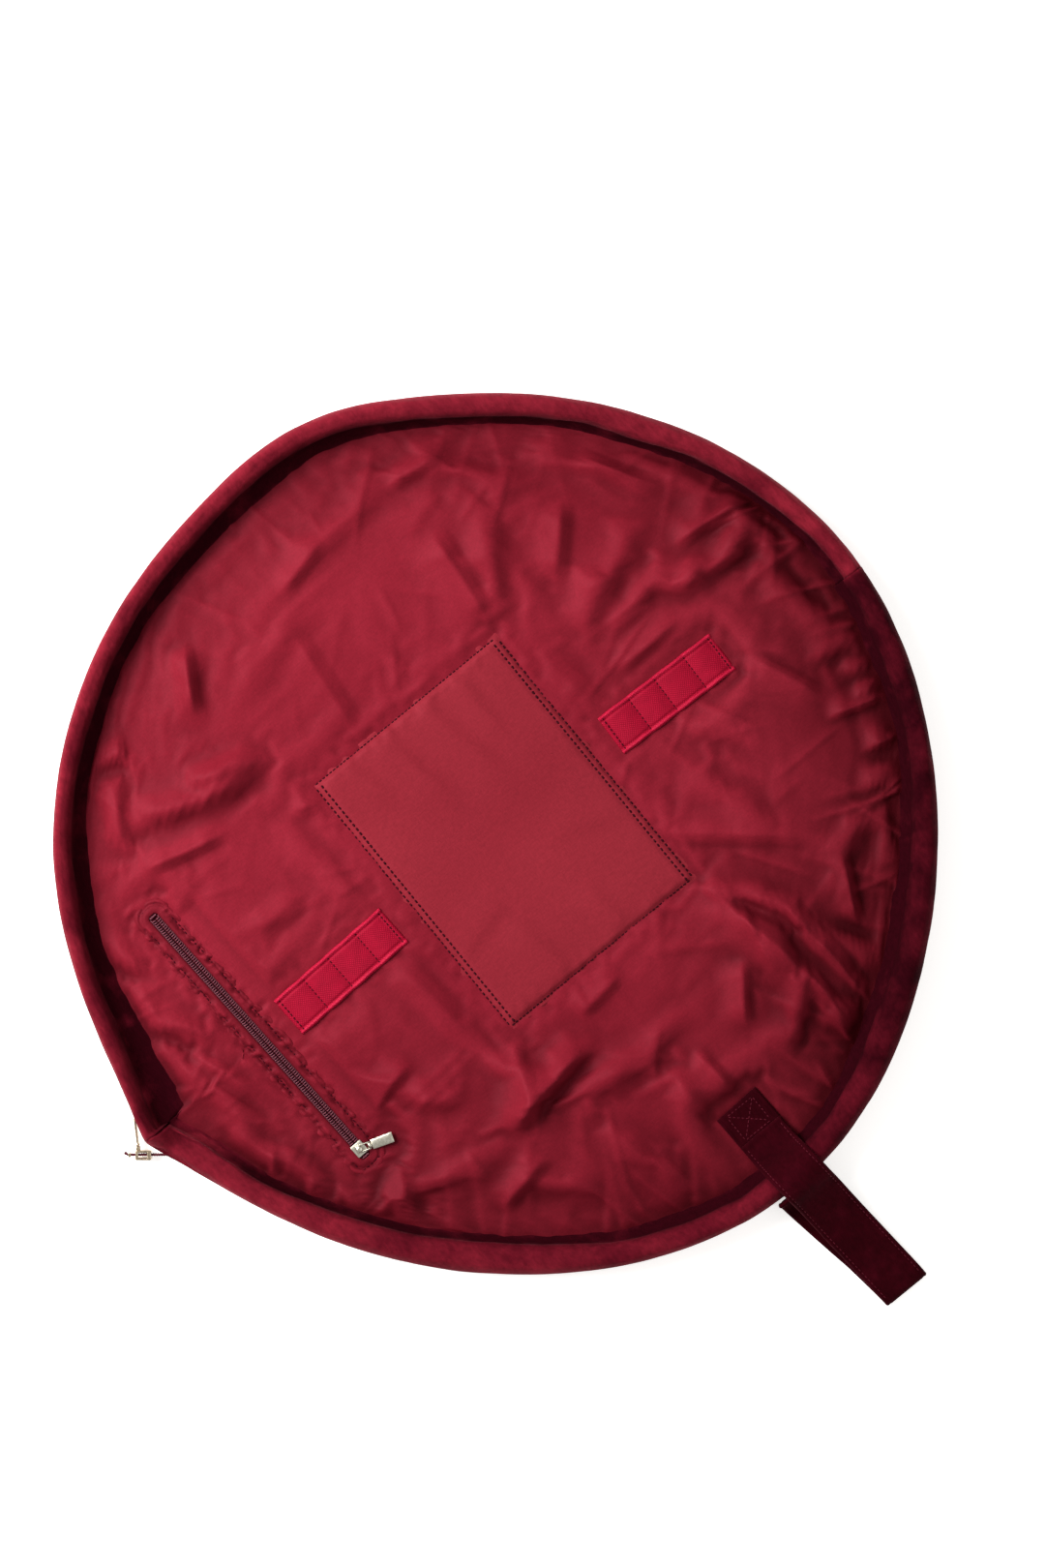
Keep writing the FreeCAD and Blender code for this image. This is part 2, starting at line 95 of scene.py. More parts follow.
# ------------------------------------------------------------------ outline, as in the CAD source
CENTRE = np.array([-3.0, 3.0])
SEAM_ANGLE = -3.4
CORNER_ANGLE = 182.3
BULGES = [(0.0, 8.0, 20.0), (76.0, 8.0, 10.0), (145.0, 3.0, 16.0), (272.0, 16.0, 22.0)]
BAG_RADIUS = 254.0
CORNER_REACH = 19.0
CORNER_SPREAD = 10.0


def turn_between(angle, other):
    return (np.asarray(angle, float) - other + 180.0) % 360.0 - 180.0


def outline_radius(angle):
    """Distance from the disc centre to the outer edge of the lip."""
    radius = np.full_like(np.asarray(angle, float), BAG_RADIUS)
    for middle, height, spread in BULGES:
        radius = radius + height * np.exp(-0.5 * (turn_between(angle, middle) / spread) ** 2)
    away = np.abs(turn_between(angle, CORNER_ANGLE))
    # The tip of the corner is rounded a little, as cloth is.
    away = np.sqrt(away**2 + 0.8**2)
    return radius + CORNER_REACH * np.exp(-away / CORNER_SPREAD)


def on_ring(angle, radius):
    """Points in the plane at an angle and radius about the disc centre."""
    a = np.radians(angle)
    return CENTRE[0] + radius * np.cos(a), CENTRE[1] + radius * np.sin(a)


# ------------------------------------------------------------------ mesh helpers
def make_mesh(name, points, faces, shade_smooth=True):
    """Mesh object from points in millimetres."""
    mesh = bpy.data.meshes.new(name)
    mesh.from_pydata((np.asarray(points, float) * MM).tolist(), [], faces)
    mesh.validate()
    mesh.update()
    obj = bpy.data.objects.new(name, mesh)
    scene.collection.objects.link(obj)
    if shade_smooth:
        mesh.polygons.foreach_set("use_smooth", np.ones(len(mesh.polygons), bool))
    return obj


def grid_faces(rows, cols, wrap_cols=False, flip=False):
    """Quads of a grid of points stored row by row."""
    last = cols if wrap_cols else cols - 1
    faces = []
    for r in range(rows - 1):
        for c in range(last):
            d = (c + 1) % cols
            quad = (r * cols + c, r * cols + d, (r + 1) * cols + d, (r + 1) * cols + c)
            faces.append(quad[::-1] if flip else quad)
    return faces


def ring_faces(count, size, closed=False, flip=False):
    """Faces over rings of points, capped at both ends unless the rings close on themselves."""
    faces = grid_faces(count, size, wrap_cols=True)
    last = (count - 1) * size
    if closed:
        faces += [(last + c, last + (c + 1) % size, (c + 1) % size, c) for c in range(size)]
    else:
        faces += [tuple(range(size))[::-1], tuple(range(last, last + size))]
    return [face[::-1] for face in faces] if flip else faces


def tube_mesh(name, rings, closed=False, flip=False):
    """Tube through rings of points, capped at its ends unless it closes on itself."""
    rings = np.asarray(rings, float)
    return make_mesh(name, rings.reshape(-1, 3), ring_faces(len(rings), rings.shape[1], closed, flip))


def slab_faces(rows, cols):
    """Faces of a thin closed sheet: its upper grid, its lower grid and the wall between them."""
    count = rows * cols
    faces = grid_faces(rows, cols, flip=True)
    faces += [tuple(count + i for i in face) for face in grid_faces(rows, cols)]
    border = [i * cols for i in range(rows)]
    border += [(rows - 1) * cols + j for j in range(1, cols)]
    border += [i * cols + cols - 1 for i in range(rows - 2, -1, -1)]
    border += list(range(cols - 2, 0, -1))
    return faces + [(b, a, count + a, count + b) for a, b in zip(border, border[1:] + border[:1])]


def join_meshes(name, parts):
    """One object from several (points, faces) pairs."""
    points = []
    faces = []
    for part_points, part_faces in parts:
        start = len(points)
        points.extend(np.asarray(part_points, float).tolist())
        faces.extend([tuple(start + i for i in face) for face in part_faces])
    return make_mesh(name, points, faces)


def finish_piece(obj, material, body="bag", replaces=()):
    """Material, slot, replaced nodes and body of one piece."""
    obj.data.materials.clear()
    obj.data.materials.append(material)
    if replaces:
        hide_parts(*replaces)
    if body:
        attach(obj, body)
    return obj


def set_layer(obj, name, values):
    """Store one number for every point of the mesh."""
    layer = obj.data.attributes.new(name, "FLOAT", "POINT")
    layer.data.foreach_set("value", np.asarray(values, float).ravel())


def cubic(a, b, c, d, t):
    """Smooth step from b to c, with a and d as the points on either side."""
    bend = (2 * a - 5 * b + 4 * c - d) * t**2
    return 0.5 * (2 * b + (c - a) * t + bend + (3 * b - a - 3 * c + d) * t**3)


def catmull(points, samples):
    """Smooth open curve through points, with samples points per span."""
    p = np.asarray(points, float)
    p = np.vstack([2 * p[0] - p[1], p, 2 * p[-1] - p[-2]])
    t = np.linspace(0, 1, samples, endpoint=False)[:, None]
    spans = [cubic(*p[i : i + 4], t) for i in range(len(p) - 3)]
    return np.vstack(spans + [p[-2][None]])


def closed_curve(control, per_span):
    """Smooth closed curve through control points."""
    p = np.asarray(control, float)
    n = len(p)
    t = np.linspace(0, 1, per_span, endpoint=False)[:, None]
    return np.vstack([cubic(p[i - 1], p[i], p[(i + 1) % n], p[(i + 2) % n], t) for i in range(n)])


def path_lengths(points):
    """Distance along a polyline at each of its points."""
    steps = np.linalg.norm(np.diff(points, axis=0), axis=1)
    return np.concatenate([[0], np.cumsum(steps)])


def along_path(points, lengths, at):
    """Points of a polyline at given distances along it."""
    return np.stack([np.interp(at, lengths, column) for column in points.T], -1)


def resample(points, step):
    """Even steps along a polyline."""
    points = np.asarray(points, float)
    lengths = path_lengths(points)
    count = max(2, int(round(lengths[-1] / step)) + 1)
    return along_path(points, lengths, np.linspace(0, lengths[-1], count))


def unit_steps(path):
    """Unit direction at every point of a path."""
    forward = np.gradient(path, axis=0)
    return forward / np.linalg.norm(forward, axis=1)[:, None]


def wire_rings(centre, hint, wire, sides):
    """Rings of a round wire along a line; hint is a direction that the line never takes."""
    forward = unit_steps(centre)
    side = np.cross(forward, hint)
    side /= np.linalg.norm(side, axis=1)[:, None]
    up = np.cross(side, forward)
    turns = np.linspace(0, 2 * math.pi, sides + 1)[:-1]
    return np.stack([centre + wire * (math.cos(b) * side + math.sin(b) * up) for b in turns], 1)


def corner_path(half_x, half_y, corner):
    """Rounded rectangle as rows of a point and its outward direction."""
    path = []
    for cx, cy, start in ((1, 1, 0), (-1, 1, 90), (-1, -1, 180), (1, -1, 270)):
        for a in np.linspace(start, start + 90, 6):
            r = math.radians(a)
            px = cx * (half_x - corner) + corner * math.cos(r)
            py = cy * (half_y - corner) + corner * math.sin(r)
            path.append((px, py, math.cos(r), math.sin(r)))
    return path


# ------------------------------------------------------------------ materials
def new_material(name):
    """Material with a bare Principled surface."""
    material = bpy.data.materials.new(name)
    material.use_nodes = True
    tree = material.node_tree
    shader = tree.nodes["Principled BSDF"]
    return material, tree, shader


def preset(target, values):
    """Plain values for a node's inputs."""
    for key, value in values.items():
        target.inputs[key].default_value = value


def node(tree, kind, inputs=None, **settings):
    """New node with settings and plain input values."""
    made = tree.nodes.new(kind)
    for key, value in settings.items():
        setattr(made, key, value)
    preset(made, inputs or {})
    return made


def noise_of(tree, scale, detail=2.0, rough=0.5, stretch=None):
    """Noise in object space; scale is features per metre, stretch scales each axis."""
    coords = node(tree, "ShaderNodeTexCoord")
    source = coords.outputs["Object"]
    if stretch:
        mapping = node(tree, "ShaderNodeMapping")
        mapping.inputs["Scale"].default_value = stretch
        tree.links.new(source, mapping.inputs["Vector"])
        source = mapping.outputs["Vector"]
    made = node(tree, "ShaderNodeTexNoise", {"Scale": scale, "Detail": detail, "Roughness": rough})
    tree.links.new(source, made.inputs["Vector"])
    return made.outputs["Fac"]


def ramp(tree, factor, stops):
    """Colour ramp over a factor."""
    made = node(tree, "ShaderNodeValToRGB")
    elements = made.color_ramp.elements
    elements[0].position, elements[0].color = stops[0][0], (*stops[0][1], 1)
    elements[1].position, elements[1].color = stops[-1][0], (*stops[-1][1], 1)
    for position, colour in stops[1:-1]:
        extra = elements.new(position)
        extra.color = (*colour, 1)
    tree.links.new(factor, made.inputs["Fac"])
    return made.outputs["Color"]


def maths(tree, operation, a, b=None):
    """Math node over sockets or numbers."""
    made = node(tree, "ShaderNodeMath", operation=operation)
    for index, value in enumerate((a, b)):
        if value is None:
            continue
        if isinstance(value, (int, float)):
            made.inputs[index].default_value = value
        else:
            tree.links.new(value, made.inputs[index])
    return made.outputs[0]


def add_bump(tree, shader, height, strength, distance):
    """Bump from a height socket; distance in metres."""
    made = node(tree, "ShaderNodeBump", {"Strength": strength, "Distance": distance})
    tree.links.new(height, made.inputs["Height"])
    tree.links.new(made.outputs["Normal"], shader.inputs["Normal"])
    return made


def mixed(tree, factor, a, b, blend="MIX"):
    """Colour mix of sockets or plain colours."""
    made = node(tree, "ShaderNodeMix", data_type="RGBA", blend_type=blend)
    if isinstance(factor, (int, float)):
        made.inputs["Factor"].default_value = factor
    else:
        tree.links.new(factor, made.inputs["Factor"])
    for key, value in (("A", a), ("B", b)):
        socket = [s for s in made.inputs if s.name == key and s.type == "RGBA"][0]
        if isinstance(value, tuple):
            socket.default_value = (*value, 1)
        else:
            tree.links.new(value, socket)
    return [s for s in made.outputs if s.type == "RGBA"][0]


def shaded(tree, colour, factor, low, high):
    """Colour made darker or lighter by a factor; low and high are its position and grey."""
    greys = ramp(tree, factor, [(position, (grey, grey, grey)) for position, grey in (low, high)])
    return mixed(tree, 1.0, colour, greys, "MULTIPLY")


def velvet_material(name, deep, mid, light, sheen, sheen_tint, patch, painted_shading=False):
    """Short pile: nap that lies in patches, a sheen at grazing angles and a fine fibrous surface."""
    material, tree, shader = new_material(name)
    nap_and_shade = noise_of(tree, patch, 4.0, 0.62)
    if painted_shading:
        # The mesh carries the way the pile was brushed together with painted shade in the crevice and on the
        # rim's side away from the key: 0 is dark, 1 is light.
        brushed_and_shade = node(tree, "ShaderNodeAttribute", attribute_name="nap_and_shade")
        spread = maths(tree, "MULTIPLY", maths(tree, "SUBTRACT", nap_and_shade, 0.5), 0.9)
        nap_and_shade = maths(tree, "ADD", brushed_and_shade.outputs["Fac"], spread)
    streak = noise_of(tree, 420.0, 2.0, 0.6, (1.0, 0.35, 1.0))
    fibre = noise_of(tree, 2600.0, 2.0, 0.7)
    levels = (0.05, 0.5, 0.95) if painted_shading else (0.30, 0.52, 0.74)
    stops = list(zip(levels, (deep, mid, light)))
    colour = shaded(tree, ramp(tree, nap_and_shade, stops), streak, (0.30, 0.80), (0.70, 1.18))
    colour = shaded(tree, colour, fibre, (0.25, 0.78), (0.75, 1.2))
    tree.links.new(colour, shader.inputs["Base Color"])
    tint = (1.0, 0.25, 0.32, 1)
    preset(shader, {"Roughness": 0.92, "Specular IOR Level": 0.10, "Specular Tint": tint})
    if painted_shading:
        # Pile that lies in the painted shade carries no sheen.
        weight = maths(tree, "MULTIPLY", brushed_and_shade.outputs["Fac"], 1.15 * sheen)
        tree.links.new(weight, shader.inputs["Sheen Weight"])
    else:
        shader.inputs["Sheen Weight"].default_value = sheen
    preset(shader, {"Sheen Roughness": 0.34, "Sheen Tint": (*sheen_tint, 1)})
    height = maths(tree, "ADD", maths(tree, "MULTIPLY", fibre, 0.6), streak)
    add_bump(tree, shader, height, 0.55, 0.0006)
    return material


def weave_height(tree, pitch, angle=0.0):
    """Fine over-and-under weave: two crossed waves, pitch in metres."""
    coords = node(tree, "ShaderNodeTexCoord")
    mapping = node(tree, "ShaderNodeMapping")
    mapping.inputs["Rotation"].default_value = (0, 0, math.radians(angle))
    tree.links.new(coords.outputs["Object"], mapping.inputs["Vector"])
    waves = []
    for direction in ("X", "Y"):
        wave = node(tree, "ShaderNodeTexWave", {"Scale": 0.314 / pitch, "Distortion": 0.0})
        wave.bands_direction = direction
        tree.links.new(mapping.outputs["Vector"], wave.inputs["Vector"])
        waves.append(wave.outputs["Fac"])
    return maths(tree, "MULTIPLY", waves[0], waves[1])


def satin_material(name, dark, base, light, painted_shading=False):
    """Smooth lining satin: soft broad gloss over a fine weave, with faint slubs and tonal drift."""
    material, tree, shader = new_material(name)
    drift = noise_of(tree, 9.0, 2.0, 0.5)
    slub = noise_of(tree, 1100.0, 2.0, 0.6, (0.22, 1.0, 1.0))
    grain = noise_of(tree, 1500.0, 2.0, 0.75, (1.0, 0.3, 1.0))
    colour = ramp(tree, drift, [(0.28, dark), (0.5, base), (0.75, light)])
    colour = shaded(tree, colour, slub, (0.3, 0.93), (0.7, 1.06))
    colour = shaded(tree, colour, grain, (0.3, 0.90), (0.7, 1.10))
    if painted_shading:
        # Painted shade from the mesh: darker in valleys, grooves, near the rim and on the side away from the
        # key light.
        shade_layer = node(tree, "ShaderNodeAttribute", attribute_name="painted_shade")
        shade_greys = ramp(tree, shade_layer.outputs["Fac"], [(0.0, (0.16, 0.10, 0.11)), (1.0, (1.0, 1.0, 1.0))])
        colour = mixed(tree, 1.0, colour, shade_greys, "MULTIPLY")
    tree.links.new(colour, shader.inputs["Base Color"])
    rough = maths(tree, "ADD", maths(tree, "MULTIPLY", drift, 0.10), 0.48)
    tree.links.new(rough, shader.inputs["Roughness"])
    preset(shader, {"Specular IOR Level": 0.13, "Specular Tint": (1.0, 0.26, 0.36, 1)})
    height = maths(tree, "ADD", maths(tree, "MULTIPLY", grain, 0.8), slub)
    add_bump(tree, shader, height, 0.30, 0.0003)
    return material


def woven_material(name, dark, light, pitch, gloss, angle=0.0):
    """Tape, webbing or thread: coarse weave with light and dark yarns."""
    material, tree, shader = new_material(name)
    weave = weave_height(tree, pitch, angle)
    drift = noise_of(tree, 160.0, 2.0, 0.5)
    colour = ramp(tree, weave, [(0.1, dark), (0.6, light)])
    colour = shaded(tree, colour, drift, (0.3, 0.9), (0.7, 1.08))
    tree.links.new(colour, shader.inputs["Base Color"])
    tint = (1.0, 0.22, 0.34, 1)
    preset(shader, {"Roughness": gloss, "Specular IOR Level": 0.3, "Specular Tint": tint})
    add_bump(tree, shader, weave, 0.5, 0.00025)
    return material


def metal_material(name, colour, shade, low_rough, high_rough, brush):
    """Plated die-cast metal with fine brushing, handling marks and duller patches."""
    material, tree, shader = new_material(name)
    marks = noise_of(tree, 700.0, 3.0, 0.6)
    brushing = noise_of(tree, 5200.0, 2.0, 0.5, brush)
    tree.links.new(ramp(tree, marks, [(0.3, shade), (0.65, colour)]), shader.inputs["Base Color"])
    shader.inputs["Metallic"].default_value = 1.0
    spread = maths(tree, "MULTIPLY", brushing, high_rough - low_rough)
    tree.links.new(maths(tree, "ADD", spread, low_rough), shader.inputs["Roughness"])
    add_bump(tree, shader, brushing, 0.12, 0.00008)
    return material


def plain_soft_material(name, dark, light, scale, rough):
    """Matt hidden stuff such as wadding and board."""
    material, tree, shader = new_material(name)
    grain = noise_of(tree, scale, 4.0, 0.65)
    tree.links.new(ramp(tree, grain, [(0.3, dark), (0.7, light)]), shader.inputs["Base Color"])
    preset(shader, {"Roughness": rough, "Specular IOR Level": 0.15})
    add_bump(tree, shader, grain, 0.6, 0.0005)
    return material


MAT = {
    "velvet": velvet_material(
        "velvet", (0.020, 0.0006, 0.0026), (0.092, 0.0040, 0.0105), (0.190, 0.0105, 0.0215),
        0.20, (1.0, 0.22, 0.29), 48.0, True,
    ),
    "base_velvet": velvet_material(
        "base_velvet", (0.070, 0.0028, 0.0080), (0.110, 0.0050, 0.0125), (0.160, 0.0090, 0.0190),
        0.30, (1.0, 0.20, 0.27), 22.0,
    ),
    "strap_velvet": velvet_material(
        "strap_velvet", (0.016, 0.0004, 0.0018), (0.024, 0.0006, 0.0026), (0.040, 0.0014, 0.0050),
        0.10, (1.0, 0.12, 0.20), 40.0,
    ),
    "satin": satin_material(
        "satin", (0.160, 0.0070, 0.0156), (0.186, 0.0090, 0.0190), (0.212, 0.0112, 0.0230), True,
    ),
    "panel_satin": satin_material(
        "panel_satin", (0.186, 0.0120, 0.0205), (0.205, 0.0142, 0.0235), (0.224, 0.0165, 0.0265),
    ),
    "elastic": woven_material(
        "elastic", (0.215, 0.0013, 0.0130), (0.370, 0.0038, 0.0260), 0.0011, 0.6, 45.0,
    ),
    "selvage": woven_material(
        "selvage", (0.320, 0.0038, 0.0240), (0.520, 0.0140, 0.0500), 0.0009, 0.45, 20.0,
    ),
    "zip_tape": woven_material("zip_tape", (0.050, 0.0020, 0.0070), (0.095, 0.0045, 0.0140), 0.0007, 0.75),
    # Thread darker than the cloth: partly its own colour, partly painted shade of the sunken needle holes of
    # the panel seams.
    "thread": woven_material("thread", (0.014, 0.0005, 0.0022), (0.034, 0.0013, 0.0050), 0.0003, 0.6, 30.0),
    "strip_thread": woven_material(
        "strip_thread", (0.030, 0.0007, 0.0034), (0.066, 0.0017, 0.0078), 0.0003, 0.6, 30.0,
    ),
    "strap_thread": woven_material(
        "strap_thread", (0.075, 0.0060, 0.0135), (0.150, 0.0180, 0.0320), 0.0003, 0.5, 30.0,
    ),
    # Its pale pink specks are painted highlights on the coil's turns.
    "coil": woven_material("coil", (0.080, 0.0160, 0.0270), (0.270, 0.1050, 0.1300), 0.0006, 0.4, 20.0),
    "satin_metal": metal_material(
        "satin_metal", (0.78, 0.75, 0.64), (0.55, 0.53, 0.43), 0.20, 0.42, (1.0, 0.1, 1.0),
    ),
    "bright_metal": metal_material(
        "bright_metal", (0.86, 0.70, 0.50), (0.36, 0.27, 0.18), 0.12, 0.34, (1.0, 1.0, 0.2),
    ),
    "filling": plain_soft_material("filling", (0.62, 0.60, 0.56), (0.84, 0.82, 0.78), 300.0, 0.95),
    "board": plain_soft_material("board", (0.42, 0.37, 0.30), (0.58, 0.53, 0.44), 500.0, 0.85),
}

# ------------------------------------------------------------------ camera, light and floor
PHOTO_TURN = math.radians(-39.3)
CAMERA_HIGH = 1.75
VIEW_TALL = 0.909
VIEW_MIDDLE = (0.0264, 0.0146)
camera_data = bpy.data.cameras.new("camera")
camera_data.sensor_width = 36.0
camera_data.lens = 36.0 * CAMERA_HIGH / VIEW_TALL
camera_data.clip_end = 50.0
camera = bpy.data.objects.new("camera", camera_data)
camera.location = (VIEW_MIDDLE[0], VIEW_MIDDLE[1], CAMERA_HIGH + 0.02)
camera.rotation_euler = (0, 0, PHOTO_TURN)
scene.collection.objects.link(camera)
scene.camera = camera

scene.view_settings.view_transform = "Standard"
scene.view_settings.look = "None"

world = bpy.data.worlds.new("studio")
world.use_nodes = True
world.node_tree.nodes["Background"].inputs["Color"].default_value = (1.0, 0.985, 0.97, 1)
world.node_tree.nodes["Background"].inputs["Strength"].default_value = 0.40
scene.world = world


def add_area(name, at, size, power, colour=(1, 1, 1)):
    """Square soft light aimed at the bag."""
    data = bpy.data.lights.new(name, "AREA")
    data.shape = "SQUARE"
    data.size = size
    data.energy = power
    data.color = colour
    light = bpy.data.objects.new(name, data)
    light.location = at
    light.rotation_euler = (Vector((0, 0, 0)) - Vector(at)).to_track_quat("-Z", "Y").to_euler()
    scene.collection.objects.link(light)
    return light


# The key comes from the picture's upper left, which is +Y here.
add_area("key", (-0.52, 0.86, 0.90), 0.80, 33.0, (1.0, 0.985, 0.96))
add_area("fill", (0.8, -1.2, 1.9), 1.8, 8.0, (1.0, 0.985, 0.96))

floor = make_mesh(
    "floor",
    [(-6000, -6000, -0.2), (6000, -6000, -0.2), (6000, 6000, -0.2), (-6000, 6000, -0.2)],
    [(0, 1, 2, 3)],
    False,
)
floor_material, _, floor_shader = new_material("floor")
floor_shader.inputs["Base Color"].default_value = (0.93, 0.925, 0.915, 1)
floor_shader.inputs["Roughness"].default_value = 0.85
floor_shader.inputs["Specular IOR Level"].default_value = 0.1
# A bright sweep of paper: a little light of its own keeps the shadow pale.
floor_shader.inputs["Emission Color"].default_value = (1.0, 0.99, 0.975, 1)
floor_shader.inputs["Emission Strength"].default_value = 0.62
floor.data.materials.append(floor_material)

# ------------------------------------------------------------------ heights and places
LINING_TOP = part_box("lining")[1].z / MM
LIP_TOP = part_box("rim_band_upper")[1].z / MM
ZIP_MIDDLE = np.array([-186.0, -2.0])
ZIP_TURN = 2.4
HALF_ZIP = 94.0
# Half width and half length of the field that is stitched down round the pocket zip.
ZIP_FIELD = (8.6, HALF_ZIP + 4.5)
SLIDER_Y = -HALF_ZIP + 6.0
PULL_TRAVEL = 165.0
PULL_CLEAR = 7.2
STRIPS = {"upper": ((125.0, 2.0), -2.0), "lower": ((-125.0, -3.0), 2.0)}
STRIP_LONG = 82.0
STRIP_WIDE = 26.4
PANEL_X = 0.5 * (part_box("centre_panel")[1].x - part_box("centre_panel")[0].x) / MM - 3.0
PANEL_Y = 0.5 * (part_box("centre_panel")[1].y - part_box("centre_panel")[0].y) / MM - 3.0
# How far the panel's cut edge lies outside its stitching.
PANEL_SEAM = 3.2


def to_axes(x, y, middle, degrees):
    """Coordinates along axes that lie at middle and are turned by degrees."""
    c, s = math.cos(math.radians(degrees)), math.sin(math.radians(degrees))
    dx, dy = x - middle[0], y - middle[1]
    return c * dx + s * dy, -s * dx + c * dy


def from_axes(u, v, middle, degrees):
    """Back from such axes to the bag's own."""
    c, s = math.cos(math.radians(degrees)), math.sin(math.radians(degrees))
    return middle[0] + c * u - s * v, middle[1] + s * u + c * v


def zip_local(x, y):
    """Across and along the pocket zip."""
    return to_axes(x, y, ZIP_MIDDLE, ZIP_TURN)


def zip_world(x, y):
    """Back from the zip's own axes."""
    return from_axes(x, y, ZIP_MIDDLE, ZIP_TURN)


def strip_local(side, x, y):
    """Along and across one elastic strip."""
    return to_axes(x, y, *STRIPS[side])


def box_distance(x, y, half_x, half_y):
    """Signed distance to a rectangle, negative inside."""
    qx, qy = np.abs(x) - half_x, np.abs(y) - half_y
    outside = np.hypot(np.maximum(qx, 0), np.maximum(qy, 0))
    return outside + np.minimum(np.maximum(qx, qy), 0)


# ------------------------------------------------------------------ rim bands
def corner_share(angle):
    """1 at the zip corner, fading away from it on both sides."""
    away = turn_between(angle, CORNER_ANGLE)
    upper = np.exp(-np.abs(np.minimum(away, 0) / 15.0) ** 1.5)
    lower = np.exp(-((np.maximum(away, 0) / 9.0) ** 2))
    return np.where(away < 0, upper, lower)


def add_bumps(value, angle, rows):
    """Value plus rounded bumps round the bag; rows hold height, middle and spread in degrees."""
    for height, middle, spread in rows:
        value = value + height * bump(turn_between(angle, middle), 0, spread)
    return value


# Where the lip is wider or narrower, and where the gap beside it opens.
LIP_BUMPS = [
    (5.0, 296.0, 26.0), (1.0, 340.0, 20.0), (5.5, 222.0, 26.0), (1.5, 40.0, 30.0), (-2.0, 140.0, 26.0),
]
GAP_BUMPS = [
    (4.0, 146.0, 30.0), (4.2, 88.0, 20.0), (2.6, 258.0, 12.0), (3.0, 304.0, 20.0), (1.6, -12.0, 22.0),
]


def lip_wide(angle):
    """Width of the rolled lip seen from above."""
    wide = 12.2 + 1.2 * soft_noise(np.asarray(angle) * 4.4, 3.0, 46.0)
    wide = add_bumps(wide, angle, LIP_BUMPS)
    away = turn_between(angle, CORNER_ANGLE)
    return wide + np.where(away < 0, -2.5, 3.5) * corner_share(angle)


def crevice(angle):
    """Dark gap between the lip and the lining."""
    gap = add_bumps(2.6, angle, GAP_BUMPS)
    away = turn_between(angle, CORNER_ANGLE)
    return gap + np.where(away < 0, 16.0, 2.0) * corner_share(angle)


def lining_inset(angle):
    """How far in from the outline the lining's edge lies."""
    return lip_wide(angle) + crevice(angle) - 2.0


def nap_and_shade_tone(angle):
    """How light the pile looks round the rim: partly the way it was brushed, partly painted shade on the
    side away from the key light.
    """
    past_seam = turn_between(angle, SEAM_ANGLE)
    lower = smooth(-0.6, 0.6, -past_seam) * smooth(-118.0, -84.0, past_seam)
    lower = lower * (0.45 + 0.55 * smooth(-92.0, -56.0, past_seam))
    painted_shade = 0.86 - 0.70 * lower
    painted_shade = add_bumps(painted_shade, angle, [(-0.20, 232.0, 34.0), (-0.26, 158.0, 20.0)])
    return painted_shade + 0.10 * soft_noise(np.asarray(angle) * 4.4, 21.0, 30.0)


def rim_profile(angle, inner=0.0):
    """Closed section of the rim at one angle: rows of inset, height and share of the nap tone; that share
    also paints light on the lip's top and shade on its underside and in the crevice beside the lining.
    """
    w = float(lip_wide(angle))
    c = float(corner_share(angle))
    gap = float(crevice(angle))
    away = float(turn_between(angle, CORNER_ANGLE))
    lower_side = float(smooth(-0.5, 3.0, away)) * c
    top = LIP_TOP - 0.4 - 9.0 * lower_side + 0.8 * float(soft_noise(angle * 4.4, 11.0, 60.0))
    top = top - 1.5 * float(bump(turn_between(angle, 222.0), 0, 40.0))
    if inner:
        return np.array([
            (inner, 16.5, 0),
            (inner + 0.8, top - 6.0, 0),
            (0.45 * w, top - 2.4, 0),
            (w - inner - 0.8, top - 6.0, 0),
            (w - inner - 0.2, 18.0, 0),
            (w - inner - 1.4, 15.0, 0),
            (0.5 * w, 14.0, 0),
            (inner + 1.2, 14.0, 0),
        ])
    e = w + gap
    return np.array([
        (3.0, 0.7, 0.5),
        (3.2, 5.0, 0.6),
        (2.6, 9.6, 0.7),
        (0.4, 12.5, 0.8),
        (0.0, 17.5, 0.95),
        (1.0, top - 4.6, 1.0),
        (0.24 * w, top - 0.9, 1.05),
        (0.42 * w, top, 0.95),
        (0.60 * w, top - 0.5, 0.90),
        (0.86 * w, top - 2.6 - 1.5 * c, 0.85),
        (w, 20.5 - 3.5 * c, 0.55),
        (w - 0.4 + 0.10 * gap, 15.0 - 3.0 * c, 0.10),
        (w - 0.5 + 0.45 * gap, 11.5 - 2.5 * c, 0.02),
        (e - 0.4, 7.4 - 0.8 * c, 0.06),
        (e + 1.0, 5.6, 0.15),
        (8.0, 3.6, 0.3),
        (4.6, 1.6, 0.4),
    ])


